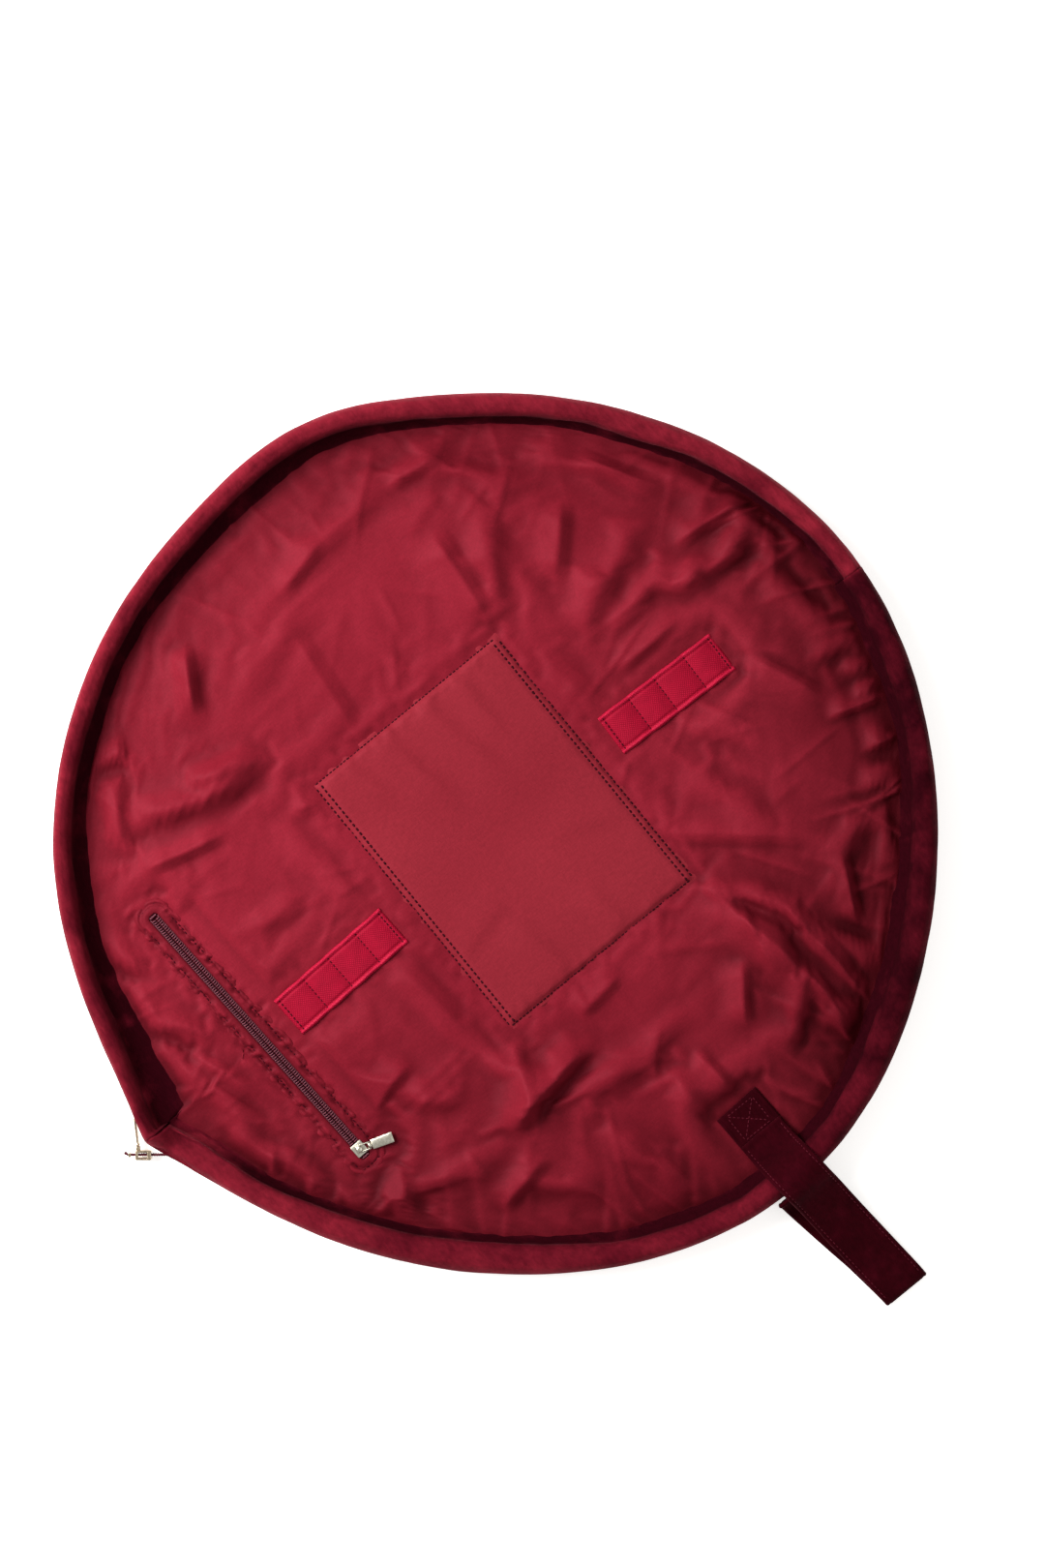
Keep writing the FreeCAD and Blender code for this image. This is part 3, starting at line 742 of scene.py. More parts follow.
def rim_rings(first, last, count, inner=0.0):
    """Rings of a band between two angles, and the nap tone with painted shade and light of every point."""
    rings = []
    tones = []
    for angle in np.linspace(first, last, count):
        section = closed_curve(rim_profile(angle, inner), 4)
        inset, high, share = section[:, 0].copy(), section[:, 1].copy(), section[:, 2].copy()
        if not inner:
            along = angle * 4.5
            # Soft dents and drag lines, strongest on the lip and near the joins.
            near_end = math.exp(-abs(float(turn_between(angle, CORNER_ANGLE))) / 6.0)
            near_end += math.exp(-abs(float(turn_between(angle, SEAM_ANGLE))) / 2.5)
            lift = smooth(9.0, 16.0, high)
            dent = soft_noise(along + high * 1.5, high * 1.2, 17.0, 1.0) * 0.55
            dent = dent + soft_noise(along + high * 2.5, high, 6.0, 2.0) * (0.16 + 0.5 * near_end)
            pull = soft_noise(along, inset * 2.0, 28.0, 3.0) * 0.8
            inset = inset + (dent + 0.5 * pull) * lift * smooth(-2.0, 3.0, inset)
            high = high + (0.5 * dent + 0.4 * pull) * lift
            share = share + 0.10 * soft_noise(along, inset, 9.0, 4.0) * lift
        x, y = on_ring(angle, outline_radius(angle) - inset)
        rings.append(np.stack([x, y, high], 1))
        wedge = float(smooth(-0.3, 1.5, turn_between(angle, CORNER_ANGLE))) * float(corner_share(angle))
        # Painted highlight: streaks of light on the crushed pile of the wall inside the corner.
        inside = float(corner_share(angle)) * (share < 0.45) * smooth(6.0, 9.0, high)
        crushed_highlight = np.clip(soft_noise(angle * 4.4 + high * 0.6, high * 2.2, 9.0, 5.5) - 0.05, 0, 1)
        share = share + 1.5 * inside * crushed_highlight
        tones.append(np.clip(share + 0.55 * wedge * (share < 0.6), 0, 1.1) * float(nap_and_shade_tone(angle)))
    return np.array(rings), np.array(tones)


BANDS = {"upper": (SEAM_ANGLE, CORNER_ANGLE), "lower": (CORNER_ANGLE, SEAM_ANGLE + 360.0)}
for side, (first, last) in BANDS.items():
    rings, tones = rim_rings(first - 0.02, last + 0.02, 520)
    band = tube_mesh("rim_" + side, rings)
    # This layer stores the velvet's painted shade and light together with the lie of its nap.
    set_layer(band, "nap_and_shade", tones)
    finish_piece(band, MAT["velvet"], "bag", ["rim_band_" + side])
    start = first + (8.0 if side == "lower" else 0.3)
    stop = last - (8.0 if side == "upper" else 0.3)
    filler = tube_mesh("rim_filling_" + side, rim_rings(start, stop, 180, 2.6)[0])
    finish_piece(filler, MAT["filling"], "bag", ["rim_filler_" + side])

# ------------------------------------------------------------------ velvet base
def base_disc():
    """Velvet underside: a thin disc with a turned edge and a faintly uneven face."""
    angles = np.linspace(0, 360, 361)[:-1] + SEAM_ANGLE
    shares = np.concatenate([np.linspace(0.02, 0.9, 40), np.linspace(0.92, 1.0, 14)])
    rows_low = []
    rows_high = []
    for share in shares:
        r = (outline_radius(angles) - 3.0) * share
        x, y = on_ring(angles, r)
        rim = smooth(0.985, 1.0, share)
        ripple = 0.22 + 0.2 * soft_noise(x, y, 34.0, 5.0)
        # The stitching of the centre panel draws a faint line underneath.
        edge = np.abs(box_distance(x, y, PANEL_X, PANEL_Y))
        ripple = ripple + 0.45 * bump(edge, 0, 2.4)
        low = ripple * (1 - bump(share, 0.97, 0.02)) + 0.7 * rim
        rows_low.append(np.stack([x, y, low], 1))
        rows_high.append(np.stack([x, y, np.full_like(x, 1.45) - 0.6 * rim], 1))
    rows = rows_low + rows_high[::-1]
    points = np.vstack(rows)
    size = len(angles)
    faces = grid_faces(len(rows), size, wrap_cols=True, flip=True)
    low_hub = len(points)
    points = np.vstack([points, [[CENTRE[0], CENTRE[1], 0.25], [CENTRE[0], CENTRE[1], 1.45]]])
    for c in range(size):
        d = (c + 1) % size
        faces.append((low_hub, d, c))
        top = (len(rows) - 1) * size
        faces.append((low_hub + 1, top + c, top + d))
    return make_mesh("base_velvet", points, faces)


finish_piece(base_disc(), MAT["base_velvet"], "bag", ["shell_base"])

# ------------------------------------------------------------------ lining
GRID = 105
FINE = 3
LINING_EDGE_Z = 6.4
BILLOW = 6.5


def disc_map(count):
    """Even square grid mapped onto the unit disc."""
    line = np.linspace(-1, 1, count)
    u, v = np.meshgrid(line, line, indexing="ij")
    x = u * np.sqrt(1 - v * v / 2)
    y = v * np.sqrt(1 - u * u / 2)
    return x, y


LIGHT_WAY = np.array([-0.51, 0.86])


def crest_axes(x, y, start, end):
    """Share of the way along a crest, and distance across it towards the key light."""
    along = end - start
    length = np.linalg.norm(along)
    along /= length
    side = np.array([-along[1], along[0]])
    if side @ LIGHT_WAY < 0:
        side = -side
    t = ((x - start[0]) * along[0] + (y - start[1]) * along[1]) / length
    return t, (x - start[0]) * side[0] + (y - start[1]) * side[1]


def fold(x, y, start, end, width, height, taper=0.30):
    """Soft ridge along a line, gentle on the side that faces the key light and steep on the other."""
    start, end = np.array(start, float), np.array(end, float)
    along = end - start
    t, across = crest_axes(x, y, start - 0.16 * along, end + 0.16 * along)
    across = across + 0.22 * width * soft_noise(x, y, 16.0, width + height)
    spread = np.where(across > 0, 1.55, 0.72) * width
    fade = smooth(-0.18, taper, t) * (1 - smooth(1 - taper, 1.18, t))
    ridge = np.exp(-((across / spread) ** 2)) - 0.30 * bump(across, -1.5 * width, 0.8 * width)
    return height * fade * ridge


# Folds of the lining: start, end, half width and height.
FOLDS = [
    ((73, 94), (98, 137), 8, 4),
    ((96, 81), (103, 139), 9, 3.5),
    ((79, 74), (86, 13), 8, 3),
    ((162, 58), (179, 44), 7, 5),
    ((176, 45), (212, 44), 7, 6),
    ((208, 43), (241, 55), 7, 5.5),
    ((114, 64), (136, 77), 8, 4.5),
    ((132, 76), (171, 89), 9, 5),
    ((130, 53), (158, 59), 6, 3),
    ((210, -36), (241, -42), 6, 4.5),
    ((217, -54), (240, -57), 5, 4),
    ((214, -69), (237, -72), 5, 5),
    ((200, -97), (220, -104), 5, 5),
    ((182, -114), (201, -121), 6, 4.5),
    ((166, -126), (142, -135), 7, 5),
    ((180, -130), (162, -161), 6, 4),
    ((70, -92), (105, -148), 6, 5.5),
    ((70, -105), (82, -158), 7, 4.5),
    ((89, -131), (70, -188), 7, 6),
    ((72, -185), (50, -200), 6, 4),
    ((108, -161), (121, -193), 7, 4),
    ((88, -203), (89, -228), 7, 4),
    ((-14, -177), (-11, -212), 8, 5),
    ((-62, -182), (-52, -222), 9, 5),
    ((3, -147), (-40, -156), 8, 4),
    ((-102, -136), (-77, -128), 6, 5.5),
    ((-80, -129), (-44, -126), 6, 6),
    ((-78, -96), (-79, -120), 8, 4.5),
    ((-137, -89), (-119, -101), 7, 4),
    ((-163, -82), (-184, -132), 7, 5.5),
    ((-182, -91), (-200, -119), 6, 4.5),
    ((-173, -127), (-139, -143), 8, 4.5),
    ((-118, -166), (-92, -192), 9, 4.5),
    ((-68, -154), (-33, -147), 8, 4),
    ((-231, 98), (-212, 73), 6, 4.5),
    ((-243, 75), (-225, 53), 6, 4),
    ((-239, 53), (-202, 17), 7, 5.5),
    ((-236, 30), (-229, -1), 6, 4.5),
    ((-227, -10), (-220, -41), 6, 5),
    ((-231, -39), (-225, -62), 5, 4.5),
    ((-219, -60), (-214, -93), 6, 4.5),
    ((-160, 138), (-111, 124), 9, 6),
    ((-114, 125), (-86, 122), 8, 6),
    ((-121, 139), (-92, 126), 5, 3.5),
    ((-155, 183), (-142, 177), 6, 5),
    ((-158, 164), (-176, 138), 7, 5),
    ((-81, 193), (-97, 169), 8, 4),
    ((-60, 165), (-17, 174), 12, 3),
    ((20, 201), (67, 206), 12, 3),
    ((104, 198), (128, 156), 10, 4),
    ((156, 155), (187, 122), 9, 4.5),
    ((199, 120), (219, 82), 8, 4.5),
    ((225, 62), (225, 26), 7, 4),
    ((214, 13), (221, -22), 7, 4),
    ((-99, 74), (-94, 26), 9, 3),
    ((-97, -30), (-93, -69), 8, 4),
    ((-120, 48), (-144, 45), 6, 3),
    ((73, -17), (78, -64), 9, 3),
    ((121, -12), (148, -49), 8, 3),
    ((108, -45), (121, -92), 9, 3.5),
]


def crease(x, y, start, end, reach, height):
    """Pressed-in crease: a crisp crest with a steep far side and a wide facet on its lit side."""
    t, across = crest_axes(x, y, np.array(start, float), np.array(end, float))
    across = across + 0.8 * soft_noise(x, y, 22.0, reach)
    lit = np.clip(1 - across / reach, 0, 1) ** 1.5
    dark = np.clip(1 + across / (0.34 * reach), 0, 1) ** 1.2
    fade = smooth(-0.12, 0.25, t) * (1 - smooth(0.72, 1.12, t))
    return height * fade * np.where(across > 0, lit, dark)


CRUMPLES = 170
CRUMPLE_SEED = 5
PUCKERS = 84
PUCKER_SEED = 11

# Crisp creases: start, end, reach of the wide facet and height.
CREASES = [
    ((70, -93), (92, -218), 30, 3.4),
    ((72, -60), (140, -118), 22, 2.2),
    ((-72, -95), (-96, -150), 22, 2.6),
    ((-30, 100), (-22, 168), 24, 1.6),
    ((118, 96), (148, 128), 22, 3.0),
    ((78, 159), (71, 102), 26, 3.2),
    ((-76, 202), (-95, 169), 18, 2.6),
    ((99, -132), (104, -208), 26, 4.5),
    ((143, -136), (126, -172), 20, 4),
    ((78, -122), (72, -160), 18, 3),
    ((59, -146), (38, -176), 18, 3.2),
    ((85, -171), (85, -215), 18, 3),
    ((-102, -136), (-46, -127), 24, 4),
    ((-1, -108), (-33, -111), 16, 2.4),
    ((5, -171), (8, -202), 16, 3),
    ((-103, -162), (-139, -169), 18, 3),
    ((185, 66), (229, 63), 20, 3.5),
    ((113, 31), (156, 32), 14, 2.5),
    ((-88, 87), (-19, 66), 20, 2.5),
    ((-175, 114), (-126, 103), 18, 3),
    ((-221, 14), (-209, -25), 14, 2.6),
    ((-129, -69), (-164, -76), 16, 2.6),
    ((190, -69), (225, -79), 14, 3),
    ((177, -14), (193, -56), 18, 2.6),
    ((173, 141), (197, 99), 18, 3),
    ((108, 194), (76, 199), 16, 2.6),
    ((24, 198), (-11, 190), 18, 2.2),
    ((-32, -75), (8, -79), 14, 1.6),
]


def lining_folds(x, y):
    """Authored height of the lining's soft folds over its lowest level."""
    rise = np.zeros_like(x)
    for start, end, width, height in FOLDS:
        rise = rise + fold(x, y, start, end, 1.1 * width, 0.85 * height)
    return rise + 1.8 * (0.5 + 0.5 * soft_noise(x, y, 62.0, 6.0)) + 0.5 * soft_noise(x, y, 27.0, 7.0)


def lining_creases(x, y):
    """Pressed creases and small crumples, kept crisp."""
    rise = np.zeros_like(x)
    for start, end, reach, height in CREASES:
        rise = rise + crease(x, y, start, end, reach, 1.7 * height)
    crumple_rng = np.random.default_rng(CRUMPLE_SEED)
    for _ in range(CRUMPLES):
        spot = crumple_rng.uniform(-1, 1, 2) * 235.0
        length, reach, height = crumple_rng.uniform([16, 5, 0.25], [64, 15, 1.25])
        outward = math.atan2(spot[1] - CENTRE[1], spot[0] - CENTRE[0])
        far = np.hypot(*(spot - CENTRE)) / BAG_RADIUS
        calm = 1 - 0.72 * bump(turn_between(math.degrees(outward), 118.0), 0, 42.0)
        lean = crumple_rng.uniform(-1, 1) * (1.6 - 0.9 * far)
        way = np.array([math.cos(outward + lean), math.sin(outward + lean)])
        reach_out = 0.5 * length * way
        rise = rise + crease(x, y, spot - reach_out, spot + reach_out, reach, calm * height)
    return rise


def keep_down(x, y, ease=1.0):
    """0 where the lining is stitched down, 1 where it is free; ease widens the change between them."""
    free = smooth(0.0, 9.0 * ease, box_distance(x, y, PANEL_X + 1.0, PANEL_Y + 1.0))
    for side in STRIPS:
        u, v = strip_local(side, x, y)
        free = free * smooth(-4.0, 7.0 * ease, box_distance(u, v, STRIP_LONG / 2, STRIP_WIDE / 2))
    u, v = zip_local(x, y)
    free = free * smooth(0.0, 8.0 * ease, box_distance(u, v, *ZIP_FIELD))
    # The strap's inner tab and the place where the zip's pull rests.
    free = free * smooth(-1.0, 8.0 * ease, box_distance(x - 5.5, y + 236.0, 15.0, 28.0))
    free = free * smooth(0.0, 10.0 * ease, box_distance(x + 173.0, y + 94.0, 12.0, 7.0))
    return free


def gathers(angle, edge):
    """Uneven radial puckers where the lining is sewn in under the rim."""
    total = np.zeros_like(edge)
    pucker_rng = np.random.default_rng(PUCKER_SEED)
    for _ in range(PUCKERS):
        at = pucker_rng.uniform(0, 360)
        inward = pucker_rng.uniform(22, 84)
        half_wide = pucker_rng.uniform(1.8, 6.4)
        tall = pucker_rng.uniform(0.5, 1.9)
        lean = pucker_rng.uniform(-0.8, 0.8)
        strong = add_bumps(0.22, at, [(1.1, -10.0, 36.0), (1.3, 206.0, 26.0), (0.55, 268.0, 34.0)])
        across = np.radians(turn_between(angle, at)) * BAG_RADIUS + lean * edge
        spread = half_wide * (0.7 + 0.9 * np.clip(edge / inward, 0, 1.3))
        side = np.where(across > 0, 1.0 / 1.4, 1.0 / 0.7)
        ridge = np.clip(1 - np.abs(across) * side / (2.0 * spread), 0, 1) ** 1.6
        fade = smooth(0.0, 6.0, edge) * (1 - smooth(0.45 * inward, inward, edge))
        total = total + strong * tall * ridge * fade
    return total


def under_pull(x, y):
    """Highest level the cloth may reach, pressed down where the pocket zip's pull swings and slides."""
    u, v = zip_local(x, y)
    swing = np.hypot(u, v - SLIDER_Y) - 23.0
    lane = box_distance(u - 13.0, v - SLIDER_Y - 0.5 * PULL_TRAVEL + 4.0, 9.5, 0.5 * PULL_TRAVEL + 10.0)
    return PULL_CLEAR + 0.45 * np.maximum(np.minimum(swing, lane), 0.0)


def lining_grid():
    """Rest shape of the lining: flat, with its authored folds as spare cloth."""
    ux, uy = disc_map(GRID)
    share = np.hypot(ux, uy)
    angle = np.degrees(np.arctan2(uy, ux))
    radius = outline_radius(angle) - lining_inset(angle)
    x, y = on_ring(angle, radius * share)
    edge = (1 - share) * radius
    free = keep_down(x, y, 2.6)
    billow = smooth(0.0, 62.0, edge) * (1 - smooth(70.0, 135.0, edge))
    billow = billow * (1.0 + 0.25 * soft_noise(x, y, 90.0, 16.0))
    z = LINING_EDGE_Z + (LINING_TOP + 0.2 - LINING_EDGE_Z) * smooth(0.0, 20.0, edge)
    z = z + free * (BILLOW * billow + lining_folds(x, y) * smooth(0, 16, edge))
    pinned = np.clip(1 - keep_down(x, y), 0, 1)
    pinned = np.maximum(pinned, 1 - smooth(0.5, 5.0, edge))
    return x, y, z, pinned


def settle(obj, pins, frames):
    """Cloth simulation of the lining: it drops onto the bag's floor, held at its stitching."""
    group = obj.vertex_groups.new(name="pins")
    for index, weight in enumerate(pins):
        if weight > 0.02:
            group.add([index], float(weight), "REPLACE")
    low = LINING_TOP - 0.9
    reach = 320
    ground_corners = [(-reach, -reach, low), (reach, -reach, low), (reach, reach, low), (-reach, reach, low)]
    ground = make_mesh("settle_ground", ground_corners, [(0, 1, 2, 3)])
    ground.modifiers.new("hit", "COLLISION")
    ground.collision.thickness_outer = 0.0006
    cloth = obj.modifiers.new("cloth", "CLOTH")
    settings = cloth.settings
    settings.quality = 6
    settings.mass = 0.10
    settings.tension_stiffness = 20
    settings.compression_stiffness = 20
    settings.shear_stiffness = 8
    settings.bending_stiffness = 14.0
    settings.tension_damping = 12
    settings.compression_damping = 12
    settings.air_damping = 2
    settings.vertex_group_mass = "pins"
    settings.pin_stiffness = 1.0
    settings.shrink_min = -0.004
    cloth.collision_settings.distance_min = 0.0006
    cloth.collision_settings.use_self_collision = False
    cloth.point_cache.frame_start = 1
    cloth.point_cache.frame_end = frames
    for step in range(1, frames + 1):
        scene.frame_set(step)
    graph = bpy.context.evaluated_depsgraph_get()
    settled = obj.evaluated_get(graph).to_mesh()
    points = np.empty(len(settled.vertices) * 3)
    settled.vertices.foreach_get("co", points)
    obj.evaluated_get(graph).to_mesh_clear()
    obj.modifiers.remove(cloth)
    obj.vertex_groups.clear()
    bpy.data.objects.remove(ground)
    scene.frame_set(1)
    return points.reshape(-1, 3) / MM


def upsample(field, factor):
    """Smooth finer grid from a coarse one, by cubic steps along each axis."""

    def one_way(a):
        """Finer steps down the columns."""
        n = a.shape[0]
        padded = np.vstack([2 * a[:1] - a[1:2], a, 2 * a[-1:] - a[-2:-1]])
        at = np.linspace(0, n - 1, (n - 1) * factor + 1)
        i = np.minimum(at.astype(int), n - 2)
        t = (at - i)[:, None]
        return cubic(padded[i], padded[i + 1], padded[i + 2], padded[i + 3], t)

    return one_way(one_way(field).T).T


def blurred(field, passes):
    """Repeated small averaging over a grid."""
    out = field.copy()
    for _ in range(passes):
        padded = np.pad(out, 1, mode="edge")
        out = 0.25 * (padded[:-2, 1:-1] + padded[2:, 1:-1] + padded[1:-1, :-2] + padded[1:-1, 2:])
    return out


def lining_polar(x, y):
    """Angle and radius about the bag's centre, and distance in from the lining's edge."""
    angle = np.degrees(np.arctan2(y - CENTRE[1], x - CENTRE[0]))
    radius = np.hypot(x - CENTRE[0], y - CENTRE[1])
    return angle, radius, outline_radius(angle) - lining_inset(angle) - radius


def lining_painted_shade(x, y, z):
    """Painted shade of the satin: darker in valleys, towards the rim and on the side away from the key."""
    angle, radius, edge = lining_polar(x, y)
    painted_shade = np.ones_like(z)
    left = bump(turn_between(angle, 150.0), 0, 42.0)
    painted_shade = painted_shade - 0.28 * (1 - 0.75 * left) * (1 - smooth(0.0, 80.0, edge))
    painted_shade = painted_shade - 0.22 * (1 - smooth(0.0, 14.0, edge))
    across = 0.774 * x - 0.633 * y
    painted_shade = painted_shade - 0.34 * smooth(20.0, 230.0, across)
    painted_shade = painted_shade - 0.09 * smooth(60.0, 230.0, -0.633 * x - 0.774 * y)
    painted_shade = painted_shade - 0.14 * bump(turn_between(angle, 212.0), 0, 26.0) * smooth(90.0, 190.0, radius)
    painted_shade = painted_shade + np.clip(0.30 * (z - blurred(z, 10)), -0.20, 0.08)
    painted_shade = painted_shade + np.clip(0.10 * (z - blurred(z, 150)), -0.24, 0.08)
    return np.clip(painted_shade + 0.05 * soft_noise(x, y, 45.0, 17.0), 0.05, 1.0)


def make_lining():
    """The satin lining as one thin sheet."""
    x, y, z, pinned = lining_grid()
    points = np.stack([x.ravel(), y.ravel(), z.ravel()], 1)
    trial = make_mesh("lining_trial", points, grid_faces(GRID, GRID, flip=True))
    laid = points[:, 2].copy()
    points = settle(trial, pinned.ravel(), 30)
    # Creased cloth keeps part of the folds it was laid down with.
    points[:, 2] = LINING_TOP + 0.60 * (points[:, 2] - LINING_TOP) + 0.50 * (laid - LINING_TOP)
    bpy.data.objects.remove(trial)
    x, y, z = (points[:, k].reshape(GRID, GRID) for k in range(3))
    x, y, z = (upsample(field, FINE) for field in (x, y, z))
    size = x.shape[0]
    # Creases, puckers and small stitched-in detail that the simulation is too coarse for.
    angle, _, edge = lining_polar(x, y)
    free = keep_down(x, y, 1.3)
    z = z + free * (lining_creases(x, y) * smooth(0.0, 12.0, edge) + gathers(angle, edge))
    rim = box_distance(x, y, PANEL_X + 1.0, PANEL_Y + 1.0)
    drag = soft_noise(x + y * 0.2, y - x * 0.2, 5.5, 12.0)
    z = z + 0.55 * drag * bump(rim, 5.0, 5.0)
    u, v = zip_local(x, y)
    zip_gap = box_distance(u, v, *ZIP_FIELD)
    z = z + 0.8 * soft_noise(u * 0.5, v, 4.2, 13.0) * bump(zip_gap, 4.5, 5.0)
    for side in STRIPS:
        su, sv = strip_local(side, x, y)
        gap = box_distance(su, sv, STRIP_LONG / 2, STRIP_WIDE / 2)
        z = z + 0.45 * soft_noise(su, sv, 5.0, 14.0) * bump(gap, 4.5, 4.0)
    z = z + 0.07 * soft_noise(x, y, 8.0, 15.0)
    ceiling = under_pull(x, y)
    z = np.where(z > ceiling - 0.6, ceiling - 0.6 * np.exp(-(z - ceiling + 0.6) / 0.6), z)
    z = np.maximum(z, LINING_TOP + 0.05)
    # Under the zip's welt the sheet dips out of sight, and the panel hides the sheet below it.
    slit = (1 - smooth(3.4, 6.4, np.abs(u))) * (1 - smooth(HALF_ZIP - 0.5, HALF_ZIP + 2.5, np.abs(v)))
    z = z * (1 - slit) + 3.3 * slit
    z = np.where(zip_gap < 0, np.minimum(z, LINING_TOP + 0.1), z)
    z = np.where(rim < -1.0, LINING_TOP + 0.05, z)
    # Painted shade of the satin, stored on the sheet.
    painted_shade = lining_painted_shade(x, y, z)
    top = np.stack([x.ravel(), y.ravel(), z.ravel()], 1)
    sheet = make_mesh("lining_satin", top, grid_faces(size, size, flip=True))
    set_layer(sheet, "painted_shade", painted_shade.ravel())
    return sheet


lining = make_lining()
finish_piece(lining, MAT["satin"], "bag", ["lining"])


# ------------------------------------------------------------------ stitches
def stitch_parts(points, pitch=3.0, length=2.2, radius=0.26, phase=0.3):
    """Small sewn stitches along a 3-D line, as (points, faces) parts."""
    line = resample(points, 0.4)
    along = path_lengths(line)
    parts = []
    ring_at = [(-0.5, 0.25), (-0.36, 0.85), (0.0, 1.0), (0.36, 0.85), (0.5, 0.25)]
    sides = 6
    at = phase * pitch
    while at + length < along[-1]:
        middle = at + length / 2
        centre = along_path(line, along, middle)
        forward = along_path(line, along, middle + 0.5) - centre
        forward /= max(np.linalg.norm(forward), 1e-9)
        side = np.cross([0, 0, 1], forward)
        side /= max(np.linalg.norm(side), 1e-9)
        up = np.cross(forward, side)
        pts = []
        for share, fat in ring_at:
            sink = -0.22 * (2 * abs(share)) ** 2
            for k in range(sides):
                a = 2 * math.pi * k / sides
                offset = side * math.cos(a) * radius * fat + up * (math.sin(a) * radius * fat * 0.8 + sink)
                pts.append(centre + forward * share * length + offset)
        parts.append((pts, ring_faces(len(ring_at), sides)))
        at += pitch
    return parts


# ------------------------------------------------------------------ centre panel
PANEL_HIGH = LINING_TOP + 2.3
BOARD_HALF = (67.0, 89.0)
BOARD_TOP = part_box("base_stiffener")[1].z / MM


# Soft pressed folds of the panel: start, end, half width and height.
PANEL_FOLDS = [
    ((-22, 92), (-12, 40), 7, 1.0),
    ((8, 92), (20, 30), 8, 1.1),
    ((34, 92), (36, 50), 6, 0.9),
    ((-50, 90), (-40, 60), 6, 0.8),
    ((-20, -90), (-30, -50), 7, 0.9),
    ((24, -90), (16, -60), 6, 0.8),
    ((-62, -40), (-30, -30), 7, 0.7),
    ((30, -20), (60, -34), 8, 0.7),
]


def panel_height(x, y):
    """Top of the stitched panel: flat on its board, drawn down at the stitching."""
    inside = -box_distance(x, y, PANEL_X + PANEL_SEAM, PANEL_Y + PANEL_SEAM)
    z = LINING_TOP + 0.2 + (PANEL_HIGH - LINING_TOP) * smooth(0.0, 6.5, inside)
    z = z - 0.85 * bump(inside, 3.0, 1.3) - 0.75 * bump(inside, 6.6, 1.2) * (np.abs(x) > PANEL_X - 6)
    z = z + 0.28 * soft_noise(x, y, 26.0, 21.0) * smooth(4, 14, inside)
    z = z + 0.42 * soft_noise(x, y, 4.0, 22.0) * bump(inside, 3.6, 4.0)
    end_gap = PANEL_Y + PANEL_SEAM - np.abs(y)
    z = z + 0.55 * soft_noise(x, y * 0.2, 5.0, 26.0) * bump(end_gap, 6.0, 5.0)
    for start, end, width, height in PANEL_FOLDS:
        z = z + fold(x, y, start, end, width, height) * smooth(4.0, 12.0, inside)
    z = z + 0.55 * bump(inside, 12.0, 12.0) * soft_noise(x * 0.4, y * 0.4, 14.0, 23.0)
    over_board = (np.abs(x) < BOARD_HALF[0]) & (np.abs(y) < BOARD_HALF[1])
    return np.where(over_board, np.maximum(z, BOARD_TOP + 0.15), z)


def make_panel():
    """Stitched satin panel as a thin closed sheet."""
    nx, ny = 118, 152
    xs = np.linspace(-(PANEL_X + PANEL_SEAM), PANEL_X + PANEL_SEAM, nx)
    ys = np.linspace(-(PANEL_Y + PANEL_SEAM), PANEL_Y + PANEL_SEAM, ny)
    x, y = np.meshgrid(xs, ys, indexing="ij")
    # The cut edge wanders a little with the hand sewing.
    x = x + 0.5 * soft_noise(y, x * 0.1, 30.0, 24.0) * np.abs(x) / PANEL_X
    y = y + 0.5 * soft_noise(x, y * 0.1, 30.0, 25.0) * np.abs(y) / PANEL_Y
    z = panel_height(x, y)
    top = np.stack([x.ravel(), y.ravel(), z.ravel()], 1)
    low = top - [0, 0, 0.3]
    low[:, 2] = np.maximum(low[:, 2], LINING_TOP + 0.06)
    return make_mesh("panel_satin", np.vstack([top, low]), slab_faces(nx, ny))


panel = finish_piece(make_panel(), MAT["panel_satin"], "bag", ["centre_panel"])


def panel_line(start, end):
    """Line on the panel's face."""
    t = np.linspace(0, 1, 120)[:, None]
    flat = np.array(start, float) * (1 - t) + np.array(end, float) * t
    z = panel_height(flat[:, 0], flat[:, 1]) + 0.12
    return np.column_stack([flat, z])


panel_stitches = []
for sign in (-1, 1):
    for inset in (0.2, -3.4):
        x = sign * (PANEL_X + inset)
        panel_stitches += stitch_parts(panel_line((x, -PANEL_Y), (x, PANEL_Y)), 3.2, 2.4, 0.68)
    y = sign * (PANEL_Y + 0.2)
    panel_stitches += stitch_parts(panel_line((-PANEL_X, y), (PANEL_X, y)), 2.6, 2.35, 0.55)
finish_piece(join_meshes("panel_stitching", panel_stitches), MAT["thread"])

# ------------------------------------------------------------------ elastic strips
CELL_STITCHES = [-0.455, -0.24, -0.01, 0.25, 0.455]


def strip_height(u, v):
    """Top of an elastic strip: four shallow arches between stitch lines, with raised edge cords."""
    z = np.zeros_like(u)
    for a, b in zip(CELL_STITCHES[:-1], CELL_STITCHES[1:]):
        low, high = a * STRIP_LONG, b * STRIP_LONG
        t = (u - low) / (high - low)
        inside = (t > 0) & (t < 1)
        z = z + np.where(inside, 1.5 * np.sin(np.pi * np.clip(t, 0, 1)) ** 0.8, 0)
    edge = STRIP_WIDE / 2 - np.abs(v)
    z = z * (0.75 + 0.25 * smooth(0, 5, edge))
    z = z + 0.75 * bump(edge, 1.3, 1.0) - 0.55 * bump(edge, 3.2, 0.8)
    rib = 0.07 * np.sin(2 * np.pi * v / 0.9) * smooth(2.4, 3.4, edge)
    return z + rib


def strip_surface(side, u, v, lift):
    """Points of a strip from its own along and across distances."""
    return np.stack([*from_axes(u, v, *STRIPS[side]), lift], -1)


